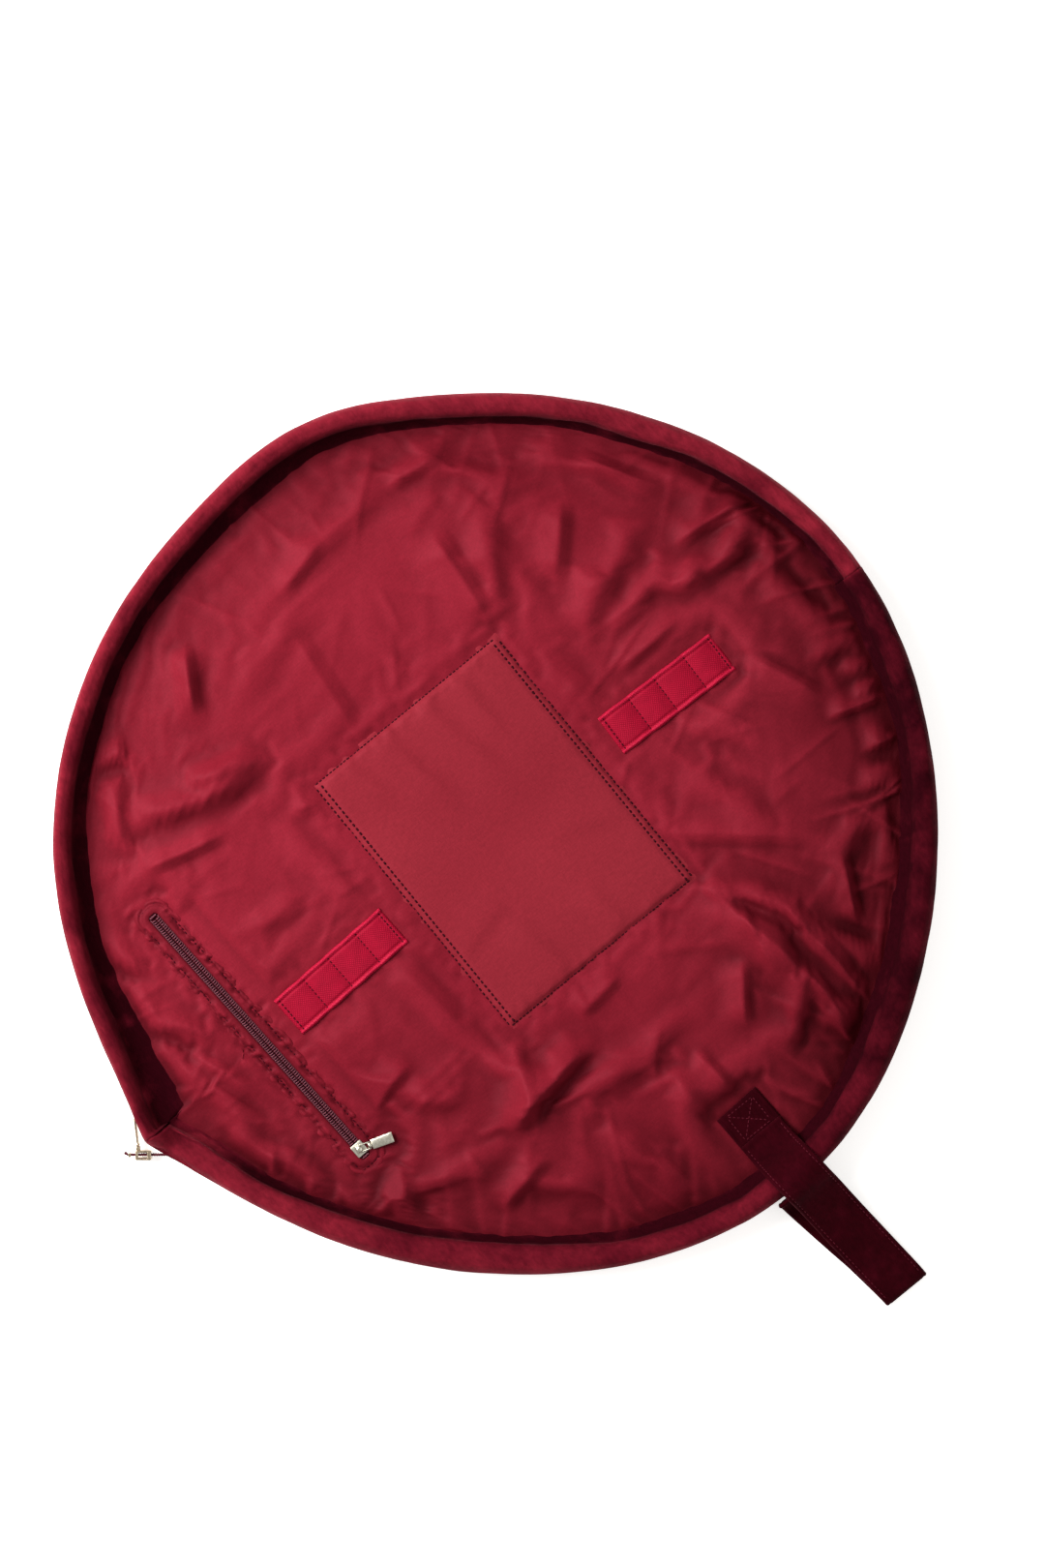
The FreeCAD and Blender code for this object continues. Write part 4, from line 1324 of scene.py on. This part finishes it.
for side in STRIPS:
    nu, nv = 190, 61
    us = np.linspace(-STRIP_LONG / 2, STRIP_LONG / 2, nu)
    vs = np.linspace(-STRIP_WIDE / 2, STRIP_WIDE / 2, nv)
    u, v = np.meshgrid(us, vs, indexing="ij")
    v_wavy = v * (1 + 0.010 * np.sin(u * 0.35))
    edge = np.minimum(STRIP_WIDE / 2 - np.abs(v), STRIP_LONG / 2 - np.abs(u))
    round_off = 0.75 * (1 - smooth(0, 0.9, edge))
    z_top = LINING_TOP + 1.75 + strip_height(u, v) - round_off
    z_low = LINING_TOP + 0.45 + strip_height(u, v) * 0.85 + 0.2 * round_off
    top = strip_surface(side, u, v_wavy, z_top).reshape(-1, 3)
    low = strip_surface(side, u, v_wavy, np.minimum(z_low, z_top - 0.15)).reshape(-1, 3)
    strip = make_mesh("strip_" + side, np.vstack([top, low]), slab_faces(nu, nv))
    strip.data.materials.append(MAT["elastic"])
    strip.data.materials.append(MAT["selvage"])
    cord_faces = np.zeros(len(strip.data.polygons), int)
    middles = np.empty(len(strip.data.polygons) * 3)
    strip.data.polygons.foreach_get("center", middles)
    middles = middles.reshape(-1, 3) / MM
    _, across = strip_local(side, middles[:, 0], middles[:, 1])
    cord_faces[np.abs(across) > STRIP_WIDE / 2 - 2.5] = 1
    strip.data.polygons.foreach_set("material_index", cord_faces)
    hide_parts("elastic_strip_" + side)
    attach(strip, "bag")
    rows = []
    for share in [-0.47] + CELL_STITCHES[1:-1] + [0.47]:
        at = share * STRIP_LONG
        vv = np.linspace(-STRIP_WIDE / 2 + 1.2, STRIP_WIDE / 2 - 1.2, 60)
        uu = np.full_like(vv, at)
        line = strip_surface(side, uu, vv, LINING_TOP + 1.80 + strip_height(uu, vv))
        rows += stitch_parts(line, 2.7, 2.0, 0.48)
    finish_piece(join_meshes("strip_stitching_" + side, rows), MAT["strip_thread"])

# ------------------------------------------------------------------ pocket zip
def welt_rings():
    """Folded satin edge round the zip's slit: a raised frame with sewing puckers."""
    path = np.array(corner_path(3.1, HALF_ZIP + 0.6, 1.8))
    path = np.vstack([path, path[:1]])
    lengths = path_lengths(path[:, :2])
    at = np.arange(0, lengths[-1], 0.8)
    path = along_path(path, lengths, at)
    section = [
        (0.3, 5.0), (-0.1, 5.7), (0.4, 6.3), (1.5, 6.55), (3.0, 6.5), (4.5, 6.2), (5.6, 5.8),
        (6.8, 6.3), (8.2, 6.1), (9.6, 5.4), (10.6, 4.9), (6.0, 4.7), (2.0, 4.7),
    ]
    section = closed_curve(section, 3)
    rings = []
    tones = []
    for index, (px, py, nx, ny) in enumerate(path):
        s = at[index]
        wave = 0.22 * soft_noise(s, 0.0, 4.6, 31.0) + 0.35 * soft_noise(s, 5.0, 17.0, 32.0)
        across = section[:, 0]
        pucker = 1.15 * soft_noise(s + 0.4 * across, across * 0.6, 3.8, 33.0)
        pucker = pucker + 0.55 * soft_noise(s, across, 2.0, 34.0)
        out = across + wave * smooth(-0.2, 2.0, across)
        free = smooth(5.2, 6.0, section[:, 1]) * smooth(0.8, 4.5, across)
        # The frame stays low where the pull's eye swings over it.
        swing = np.hypot(px + nx * out, py + ny * out - SLIDER_Y)
        ceiling = PULL_CLEAR - 0.05 - 0.75 * (1 - smooth(9.5, 13.0, swing))
        high = np.minimum(section[:, 1] + pucker * free, ceiling)
        x, y = zip_world(px + nx * out, py + ny * out)
        rings.append(np.stack([x, y, high], 1))
        # Painted shade and light on the welt: darker in its fold lines and dips, lighter on its raised
        # puckers.
        groove_shade = 0.18 * bump(across, 5.6, 1.4) + 0.20 * bump(across, 0.0, 1.2)
        tones.append(0.66 + 0.30 * pucker * free - groove_shade)
    return np.array(rings), np.clip(tones, 0.05, 1.0)


welt_points, welt_shade = welt_rings()
welt = tube_mesh("zip_welt", welt_points, closed=True, flip=True)
set_layer(welt, "painted_shade", welt_shade)
finish_piece(welt, MAT["satin"])

for name, sign in (("near", -1), ("far", 1)):
    ys = np.linspace(-HALF_ZIP - 3, HALF_ZIP + 3, 240)
    rings = []
    for yy in ys:
        inner, outer = sign * 0.45, sign * 11.8
        wave = 0.06 * math.sin(yy * 1.3)
        ring = [
            (inner, 4.46),
            (sign * 3.2, 4.50 + wave),
            (sign * 6.0, 4.48),
            (outer, 4.44),
            (outer, 3.95),
            (sign * 3.2, 3.95),
            (inner, 3.95),
        ]
        pts = []
        for px, pz in ring:
            x, y = zip_world(px, yy)
            pts.append((x, y, pz))
        rings.append(pts)
    tape = tube_mesh("pocket_zip_tape_" + name, rings, flip=sign < 0)
    finish_piece(tape, MAT["zip_tape"], "bag", ["pocket_tape_" + name])


def coil_rings(sign, length, pitch, reach, wire, high, lean):
    """Rings of one moulded coil row: a helix of oval turns whose tops lean towards the slider."""
    per_turn = 12
    t = np.arange(int(length / pitch) * per_turn + 1) / per_turn
    a = 2 * np.pi * t
    across = 0.45 + reach * (0.5 + 0.5 * np.cos(a))
    along = -length / 2 + t * pitch + lean * (0.5 + 0.5 * np.cos(a)) * np.sign(np.sin(a) + 0.01)
    return wire_rings(np.stack([sign * across, along, high * np.sin(a)], 1), [0.0, 0.35, 1.0], wire, 5)


COIL_MIDDLE_Z = LINING_TOP + 0.25
for name, sign in (("near", -1), ("far", 1)):
    rings = coil_rings(sign, 2 * HALF_ZIP - 2.4, 1.5, 2.3, 0.40, 0.55, 0.75)
    x, y = zip_world(rings[..., 0], rings[..., 1])
    rings = np.stack([x, y, rings[..., 2] + COIL_MIDDLE_Z], -1)
    coil = tube_mesh("pocket_zip_coil_" + name, rings)
    finish_piece(coil, MAT["coil"], "bag", ["pocket_coil_" + name])


def rounded_block(middle, size, bevel, place, taper=0.0, dome=0.0):
    """(points, faces) of a block with rounded edges. place maps local points to the bag."""
    nx = 12
    sx, sy, sz = (0.5 * v for v in size)
    line = np.linspace(-1, 1, nx)
    points = []
    faces = []
    axes = [(0, 1, 2, 1), (0, 1, 2, -1), (1, 2, 0, 1), (1, 2, 0, -1), (2, 0, 1, 1), (2, 0, 1, -1)]
    half = np.array([sx, sy, sz])
    for a, b, c, sign in axes:
        start = len(points)
        for p in line:
            for q in line:
                v = np.zeros(3)
                v[a], v[b], v[c] = p * half[a], q * half[b], sign * half[c]
                core = np.clip(v, -(half - bevel), half - bevel)
                d = v - core
                n = np.linalg.norm(d)
                if n > 1e-9:
                    v = core + d / n * bevel
                v[1] *= 1 - taper * (v[0] / sx)
                if dome and v[2] > 0:
                    v[2] += dome * (1 - (v[1] / sy) ** 2)
                points.append(v + middle)
        faces += [tuple(start + i for i in f) for f in grid_faces(nx, nx, flip=sign < 0)]
    return place(np.array(points)), faces


def frame_block(outer, inner, low, high, place, shift=0.0):
    """Flat square link: a rounded rectangular ring between two heights."""
    rings = []
    middle = 0.5 * (low + high)
    half = 0.5 * (high - low)
    for px, py, nx, ny in corner_path(*outer, 1.1):
        ring = []
        for b in np.linspace(0, 2 * math.pi, 9)[:-1]:
            reach = 0.5 * inner * (1 - math.cos(b))
            ring.append((px - nx * reach + shift, py - ny * reach, middle + half * math.sin(b)))
        rings.append(ring)
    rings = np.array(rings)
    return place(rings.reshape(-1, 3)), ring_faces(len(rings), rings.shape[1], closed=True)


def round_block(centre, radius, low, high, place, bevel=0.2):
    """Upright turned pin with eased edges."""
    rings = []
    profile = (
        (0.02, low),
        (radius - bevel, low),
        (radius, low + bevel),
        (radius, high - bevel),
        (radius - bevel, high),
        (0.02, high),
    )
    turns = np.linspace(0, 2 * math.pi, 19)[:-1]
    for r, z in profile:
        rings.append([(centre[0] + r * math.cos(a), centre[1] + r * math.sin(a), z) for a in turns])
    rings = np.array(rings)
    return place(rings.reshape(-1, 3)), ring_faces(len(rings), len(turns))


def blocks(place, *rows):
    """Rounded blocks from rows of middle, size and bevel."""
    return [rounded_block(np.array(middle), size, bevel, place) for middle, size, bevel in rows]


def add_metal(name, parts, finish, body, node_name):
    """One metal piece made of parts, in place of a CAD node."""
    finish_piece(join_meshes(name, parts), MAT[finish], body, [node_name])


def placed(points, middle, degrees):
    """Points moved from axes that lie at middle and are turned by degrees."""
    return np.column_stack([points[:, :2] @ turn(degrees).T + middle, points[:, 2]])


def place_zip(points):
    """From the zip's own axes to the bag."""
    x, y = zip_world(points[:, 0], points[:, 1])
    return np.stack([x, y, points[:, 2]], 1)


PLATE_TOP = 7.25
PIVOT = np.array(zip_world(0.0, SLIDER_Y))
PULL_TURN = -19.0


def place_pull(points):
    """From the pull's own axes, about the swivel post, to the bag."""
    return placed(points, PIVOT, PULL_TURN)


slider_parts = [
    *blocks(place_zip, ((0, SLIDER_Y + 0.2, 3.2), (6.6, 7.2, 0.6), 0.25)),
    rounded_block(np.array([0, SLIDER_Y, 6.8]), (7.6, 8.0, 0.9), 0.4, place_zip, 0.0, 0.15),
    *blocks(
        place_zip,
        ((-3.35, SLIDER_Y, 5.95), (0.8, 7.8, 1.5), 0.3),
        ((3.35, SLIDER_Y, 5.95), (0.8, 7.8, 1.5), 0.3),
        ((0, SLIDER_Y + 2.6, 4.9), (0.5, 2.2, 3.8), 0.15),
    ),
    round_block((0, SLIDER_Y), 0.9, PLATE_TOP - 0.1, PLATE_TOP + 1.6, place_zip, 0.1),
    round_block((0, SLIDER_Y), 1.9, PLATE_TOP + 1.4, PLATE_TOP + 2.0, place_zip, 0.25),
]
add_metal("pocket_slider_body", slider_parts, "satin_metal", "pocket_slider", "pocket_slider")
ring_part = frame_block((4.65, 2.5), 1.0, PLATE_TOP + 0.3, PLATE_TOP + 1.1, place_pull, 2.45)
add_metal("pocket_ring_link", [ring_part], "satin_metal", "pocket_ring", "pocket_ring")


def knuckle_part():
    """Rolled eye of the pull round the ring's far side."""
    outer = []
    for a in np.linspace(0, 2 * math.pi, 17)[:-1]:
        outer.append((6.7 + 1.4 * math.cos(a), PLATE_TOP + 0.7 + 1.3 * math.sin(a)))
    inner = []
    for a in np.linspace(0, 2 * math.pi, 17)[:-1]:
        inner.append((6.7 + 0.78 * math.cos(a), PLATE_TOP + 0.7 + 0.78 * math.sin(a)))
    pts = []
    for v in (-1.5, 1.5):
        pts += [(px, v, pz) for px, pz in outer]
        pts += [(px, v, pz) for px, pz in inner]
    faces = []
    n = 16
    for k in range(n):
        j = (k + 1) % n
        faces.append((k, j, 2 * n + j, 2 * n + k)[::-1])
        faces.append((n + k, n + j, 3 * n + j, 3 * n + k))
        faces.append((k, j, n + j, n + k))
        faces.append((2 * n + k, 2 * n + j, 3 * n + j, 3 * n + k)[::-1])
    return place_pull(np.array(pts)), faces


pull_parts = [
    knuckle_part(),
    rounded_block(np.array([14.4, 0, PLATE_TOP + 0.72]), (13.2, 6.2, 1.3), 0.5, place_pull, -0.04, 0.45),
]
add_metal("pocket_pull_bar", pull_parts, "satin_metal", "pocket_pull", "pocket_pull")

for name, sign in (("lower", -1), ("upper", 1)):
    stop_y = sign * (HALF_ZIP - 0.5)
    zip_stop = join_meshes("zip_stop_" + name, blocks(place_zip, ((0, stop_y, 5.4), (4.8, 1.0, 1.7), 0.3)))
    finish_piece(zip_stop, MAT["coil"], "bag", ["pocket_stop_" + name])

# Topstitching that wanders round the zip.
zip_rows = []
for sign in (-1, 1):
    v = np.linspace(-HALF_ZIP - 5.0, HALF_ZIP + 5.0, 260)
    u = sign * (8.1 + 0.45 * soft_noise(v, 0.0, 12.0, 41.0 + sign))
    x, y = zip_world(u, v)
    zip_rows += stitch_parts(np.column_stack([x, y, np.full_like(v, 6.0)]), 2.9, 2.0, 0.34)
    u = np.linspace(-8.0, 8.0, 40)
    x, y = zip_world(u, np.full_like(u, sign * (HALF_ZIP + 5.0)))
    zip_rows += stitch_parts(np.column_stack([x, y, np.full_like(u, 6.2)]), 2.9, 2.0, 0.26)
finish_piece(join_meshes("zip_topstitching", zip_rows), MAT["strip_thread"])

# ------------------------------------------------------------------ closure zip under the rim
CLOSURE_RADIUS = 257.0
CLOSURE_PITCH = 1.9
for side, (first, last) in BANDS.items():
    angles = np.linspace(first + 1.5, last - 1.5, 420)
    rings = []
    for angle in angles:
        r = outline_radius(angle)
        wave = 0.15 * soft_noise(angle * 4.5, 0.0, 9.0, 51.0)
        ring = []
        tape_section = (
            (1.9 + wave, 1.7),
            (1.75 + wave, 5.5),
            (1.95, 9.6),
            (2.55, 9.8),
            (2.35 + wave, 5.5),
            (2.45 + wave, 1.7),
        )
        for inset, high in tape_section:
            x, y = on_ring(angle, r - inset)
            ring.append((float(x), float(y), high))
        rings.append(ring)
    tape = tube_mesh("closure_tape_cloth_" + side, rings, flip=True)
    finish_piece(tape, MAT["zip_tape"], "bag", ["closure_tape_" + side])
    length = math.radians(last - first - 3.2) * CLOSURE_RADIUS
    per_turn = 8
    turns = int(length / CLOSURE_PITCH)
    t = np.arange(turns * per_turn + 1) / per_turn
    a = 2 * np.pi * t
    angle = first + 1.6 + (last - first - 3.2) * t / turns
    inset = 1.15 + 0.55 * np.cos(a)
    high = 2.9 + 0.95 * np.sin(a)
    x, y = on_ring(angle, outline_radius(angle) - inset)
    centre = np.stack([x, y, high], 1)
    coil = tube_mesh("closure_coil_row_" + side, wire_rings(centre, [0.3, 0.2, 1.0], 0.34, 4))
    finish_piece(coil, MAT["coil"], "bag", ["closure_coil_" + side])

TAIL_AT = np.array([-282.0, -13.0])
TAIL_TURN = -39.3


def place_tail(points):
    """From the closure tail's own axes to the bag."""
    return placed(points, TAIL_AT, TAIL_TURN)


tail_rings = []
for px in np.linspace(-11.5, 14.4, 60):
    # The cut end of the tape curls a little and frays wider.
    curl = 1.1 * float(1 - smooth(-11.5, -9.3, px))
    half = 0.38 + 0.30 * float(1 - smooth(-11.5, -10.0, px))
    tail_rings.append([
        (px, curl - half, 2.5), (px, 0.6 * curl - half, 5.0), (px, curl - half, 7.7),
        (px, curl + half, 7.7), (px, 0.6 * curl + half, 5.0), (px, curl + half, 2.5),
    ])
tail_rings = np.array(tail_rings)
tail = tube_mesh("closure_tail_tape", [place_tail(r) for r in tail_rings])
finish_piece(tail, MAT["zip_tape"], "bag", ["closure_tail"])
per_turn = 10
t = np.arange(15 * per_turn + 1) / per_turn
a = 2 * np.pi * t
centre = np.stack([-7.2 + 21.0 * t / 15, 0.72 * np.cos(a), 4.9 + 0.95 * np.sin(a)], 1)
rings = wire_rings(centre, [1.0, 0.2, 0.3], 0.3, 5)
finish_piece(tube_mesh("closure_tail_coil", [place_tail(r) for r in rings]), MAT["coil"])

stop_parts = blocks(
    place_tail,
    ((-8.3, 0.85, 6.4), (1.4, 0.9, 3.0), 0.3),
    ((-8.3, -0.85, 6.4), (1.4, 0.9, 3.0), 0.3),
    ((-8.3, 0.0, 8.1), (1.4, 2.4, 0.6), 0.25),
)
add_metal("closure_stop_clamp", stop_parts, "bright_metal", "bag", "closure_stop")

closure_parts = blocks(
    place_tail,
    ((-0.25, 2.05, 5.6), (9.5, 1.3, 7.2), 0.5),
    ((-0.25, -2.05, 5.6), (9.5, 1.3, 7.2), 0.5),
    ((3.2, 0.0, 8.7), (2.4, 5.0, 1.0), 0.45),
    ((-3.9, 0.0, 8.7), (1.6, 5.0, 1.0), 0.45),
    ((-0.25, 2.55, 8.9), (8.6, 0.6, 0.8), 0.25),
    ((-0.25, -2.55, 8.9), (8.6, 0.6, 0.8), 0.25),
    ((-3.5, 3.6, 3.9), (2.2, 2.6, 0.8), 0.3),
    ((-3.5, 3.6, 7.2), (2.2, 2.6, 0.8), 0.3),
)
add_metal("closure_slider_body", closure_parts, "bright_metal", "closure_slider", "closure_slider")

PIN_AT = place_tail(np.array([[-3.5, 5.9, 0.0]]))[0, :2]


def place_closure_pull(points):
    """From the closure pull's own axes, about its pin, to the bag."""
    return placed(points, PIN_AT, TAIL_TURN + 97.0)


closure_pull_parts = [
    *blocks(place_closure_pull, ((8.3, 0, 5.5), (15.2, 1.3, 5.8), 0.5)),
    round_block((0, 0), 0.95, 2.6, 8.4, place_closure_pull),
]
add_metal("closure_pull_bar", closure_pull_parts, "bright_metal", "closure_pull", "closure_pull")

# ------------------------------------------------------------------ carry loop
EDGE_Y = float(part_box("rim_band_lower")[0].y) / MM
STRAP_HALF = 15.0
STRAP_THICK = 2.2


def strap_section():
    """Cross-section of the strap: (across, up) with rounded edges and a stitched groove near each edge."""
    shares = [np.linspace(-1, -0.72, 9), np.linspace(-0.68, 0.68, 13), np.linspace(0.72, 1, 9)]
    xs = np.concatenate(shares) * STRAP_HALF
    edge = STRAP_HALF - np.abs(xs)
    half = 0.5 * STRAP_THICK * np.sqrt(np.clip(1 - (1 - np.clip(edge / 1.4, 0, 1)) ** 2, 0.02, 1))
    groove = 0.28 * bump(edge, 2.4, 0.55)
    top = half - groove
    upper = np.stack([xs, top], 1)
    lower = np.stack([xs[::-1], -top[::-1]], 1)
    return np.vstack([upper, lower])


def strap_axes(path):
    """Ways across and up at every point of the strap's centre line; across stays level."""
    axes = []
    for way in unit_steps(path):
        across = np.array([1.0, 0.0, 0.0]) - way * way[0]
        across /= np.linalg.norm(across)
        axes.append((across, np.cross(across, way)))
    return axes


def strap_mesh(name, line, step=1.3, seed=0.0):
    """Strap swept along a centre line of (x, y, z) points; it stays level across its width."""
    path = resample(catmull(line, 14), step)
    section = strap_section()
    rings = []
    for k, (across, up) in enumerate(strap_axes(path)):
        s = k * step
        lift = 0.10 * soft_noise(section[:, 0] * 0.8, s + section[:, 1] * 3, 7.0, seed)
        rise = section[:, 1:2] + (lift * np.sign(section[:, 1]))[:, None]
        rings.append(path[k] + section[:, :1] * across + rise * up)
    # Turned-in ends are a little thinner.
    for k, share in ((0, 0.55), (1, 0.85), (-1, 0.55), (-2, 0.85)):
        rings[k] = path[k] + (rings[k] - path[k]) * np.array([1.0, 1.0, share])
    return tube_mesh(name, rings, flip=True), path


inner_y = EDGE_Y + 13.0
over = LIP_TOP + 1.5
tab_line = [
    (4.6, -209.0, LINING_TOP + 1.7),
    (4.9, -216.0, LINING_TOP + 1.6),
    (5.2, -229.0, LINING_TOP + 1.6),
    (5.4, -243.0, LINING_TOP + 1.9),
]
tab, _ = strap_mesh("carry_strap_tab", tab_line, 1.3, 63.0)
strap_line = [
    (5.2, -230.5, LINING_TOP + 3.3),
    (5.3, -236.0, LINING_TOP + 3.6),
    (5.6, inner_y + 9.0, 14.0),
    (6.2, inner_y + 3.4, 24.5),
    (6.8, inner_y - 2.2, over),
    (7.6, EDGE_Y + 3.0, over + 0.2),
    (8.0, EDGE_Y - 3.5, over - 2.0),
    (8.6, EDGE_Y - 12.0, 21.0),
    (9.6, EDGE_Y - 32.0, 13.0),
    (11.4, EDGE_Y - 60.0, 8.6),
    (12.8, EDGE_Y - 82.0, 5.6),
    (13.0, EDGE_Y - 88.2, 4.3),
    (13.0, EDGE_Y - 89.4, 3.0),
    (12.9, EDGE_Y - 87.4, 1.5),
    (12.0, EDGE_Y - 78.0, 1.25),
    (9.4, EDGE_Y - 56.0, 1.25),
]
strap, strap_path = strap_mesh("carry_strap", strap_line, 1.3, 61.0)
low_line = [
    (9.7, EDGE_Y - 58.0, 1.25),
    (6.0, EDGE_Y - 36.0, 1.25),
    (2.6, EDGE_Y - 14.0, 1.5),
    (1.6, EDGE_Y - 6.5, 5.0),
    (1.3, EDGE_Y - 3.6, 12.0),
    (1.2, EDGE_Y - 2.6, 18.0),
    (1.2, EDGE_Y - 2.5, 23.5),
]
strap_low, _ = strap_mesh("carry_strap_underside", low_line, 1.3, 62.0)


def strap_stitches(path, start, end, offsets, lift):
    """Topstitch rows along part of the strap's upper side."""
    axes = strap_axes(path)
    parts = []
    for offset in offsets:
        line = []
        for k in range(start, end):
            across, up = axes[k]
            if up[2] < 0:
                up = -up
            line.append(path[k] + offset * across + lift * up)
        parts += stitch_parts(np.array(line), 2.8, 2.0, 0.24)
    return parts


top_end = int(np.argmin(strap_path[:, 1]))
edge_rows = strap_stitches(strap_path, 2, top_end - 2, (-12.6, 12.6), 0.92)
edge_stitching = join_meshes("strap_edge_stitching", edge_rows)

box_rows = []
box_low, box_high = -229.0, -211.5
corners = [(-9.5, box_high), (9.5, box_high), (9.5, box_low), (-9.5, box_low)]
segments = [(0, 1), (1, 2), (2, 3), (3, 0), (0, 2), (1, 3)]
for a, b in segments:
    t = np.linspace(0, 1, 40)[:, None]
    flat = np.array(corners[a]) * (1 - t) + np.array(corners[b]) * t
    z = np.full(40, LINING_TOP + 1.6 + 1.12)
    box_rows += stitch_parts(np.column_stack([flat[:, 0] + 5.0, flat[:, 1], z]), 2.6, 1.9, 0.26)
finish_piece(join_meshes("strap_box_stitching", box_rows), MAT["strap_thread"])

for piece, nodes in (
    (strap, ["carry_loop"]),
    (strap_low, ["loop_outer_tab"]),
    (edge_stitching, []),
):
    material = MAT["strap_thread"] if piece is edge_stitching else MAT["strap_velvet"]
    finish_piece(piece, material, None, nodes)
finish_piece(tab, MAT["strap_velvet"], "bag", ["loop_inner_tab"])
for piece in (strap, edge_stitching):
    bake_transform(piece)
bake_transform(strap_low)

# ------------------------------------------------------------------ hidden layers keep their CAD shape
for name, material in (
    ("wadding", "filling"),
    ("base_stiffener", "board"),
    ("pocket_bag", "satin"),
):
    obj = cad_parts[name]
    if not obj.material_slots:
        obj.data.materials.append(MAT[material])
    for holder in obj.material_slots:
        holder.material = MAT[material]
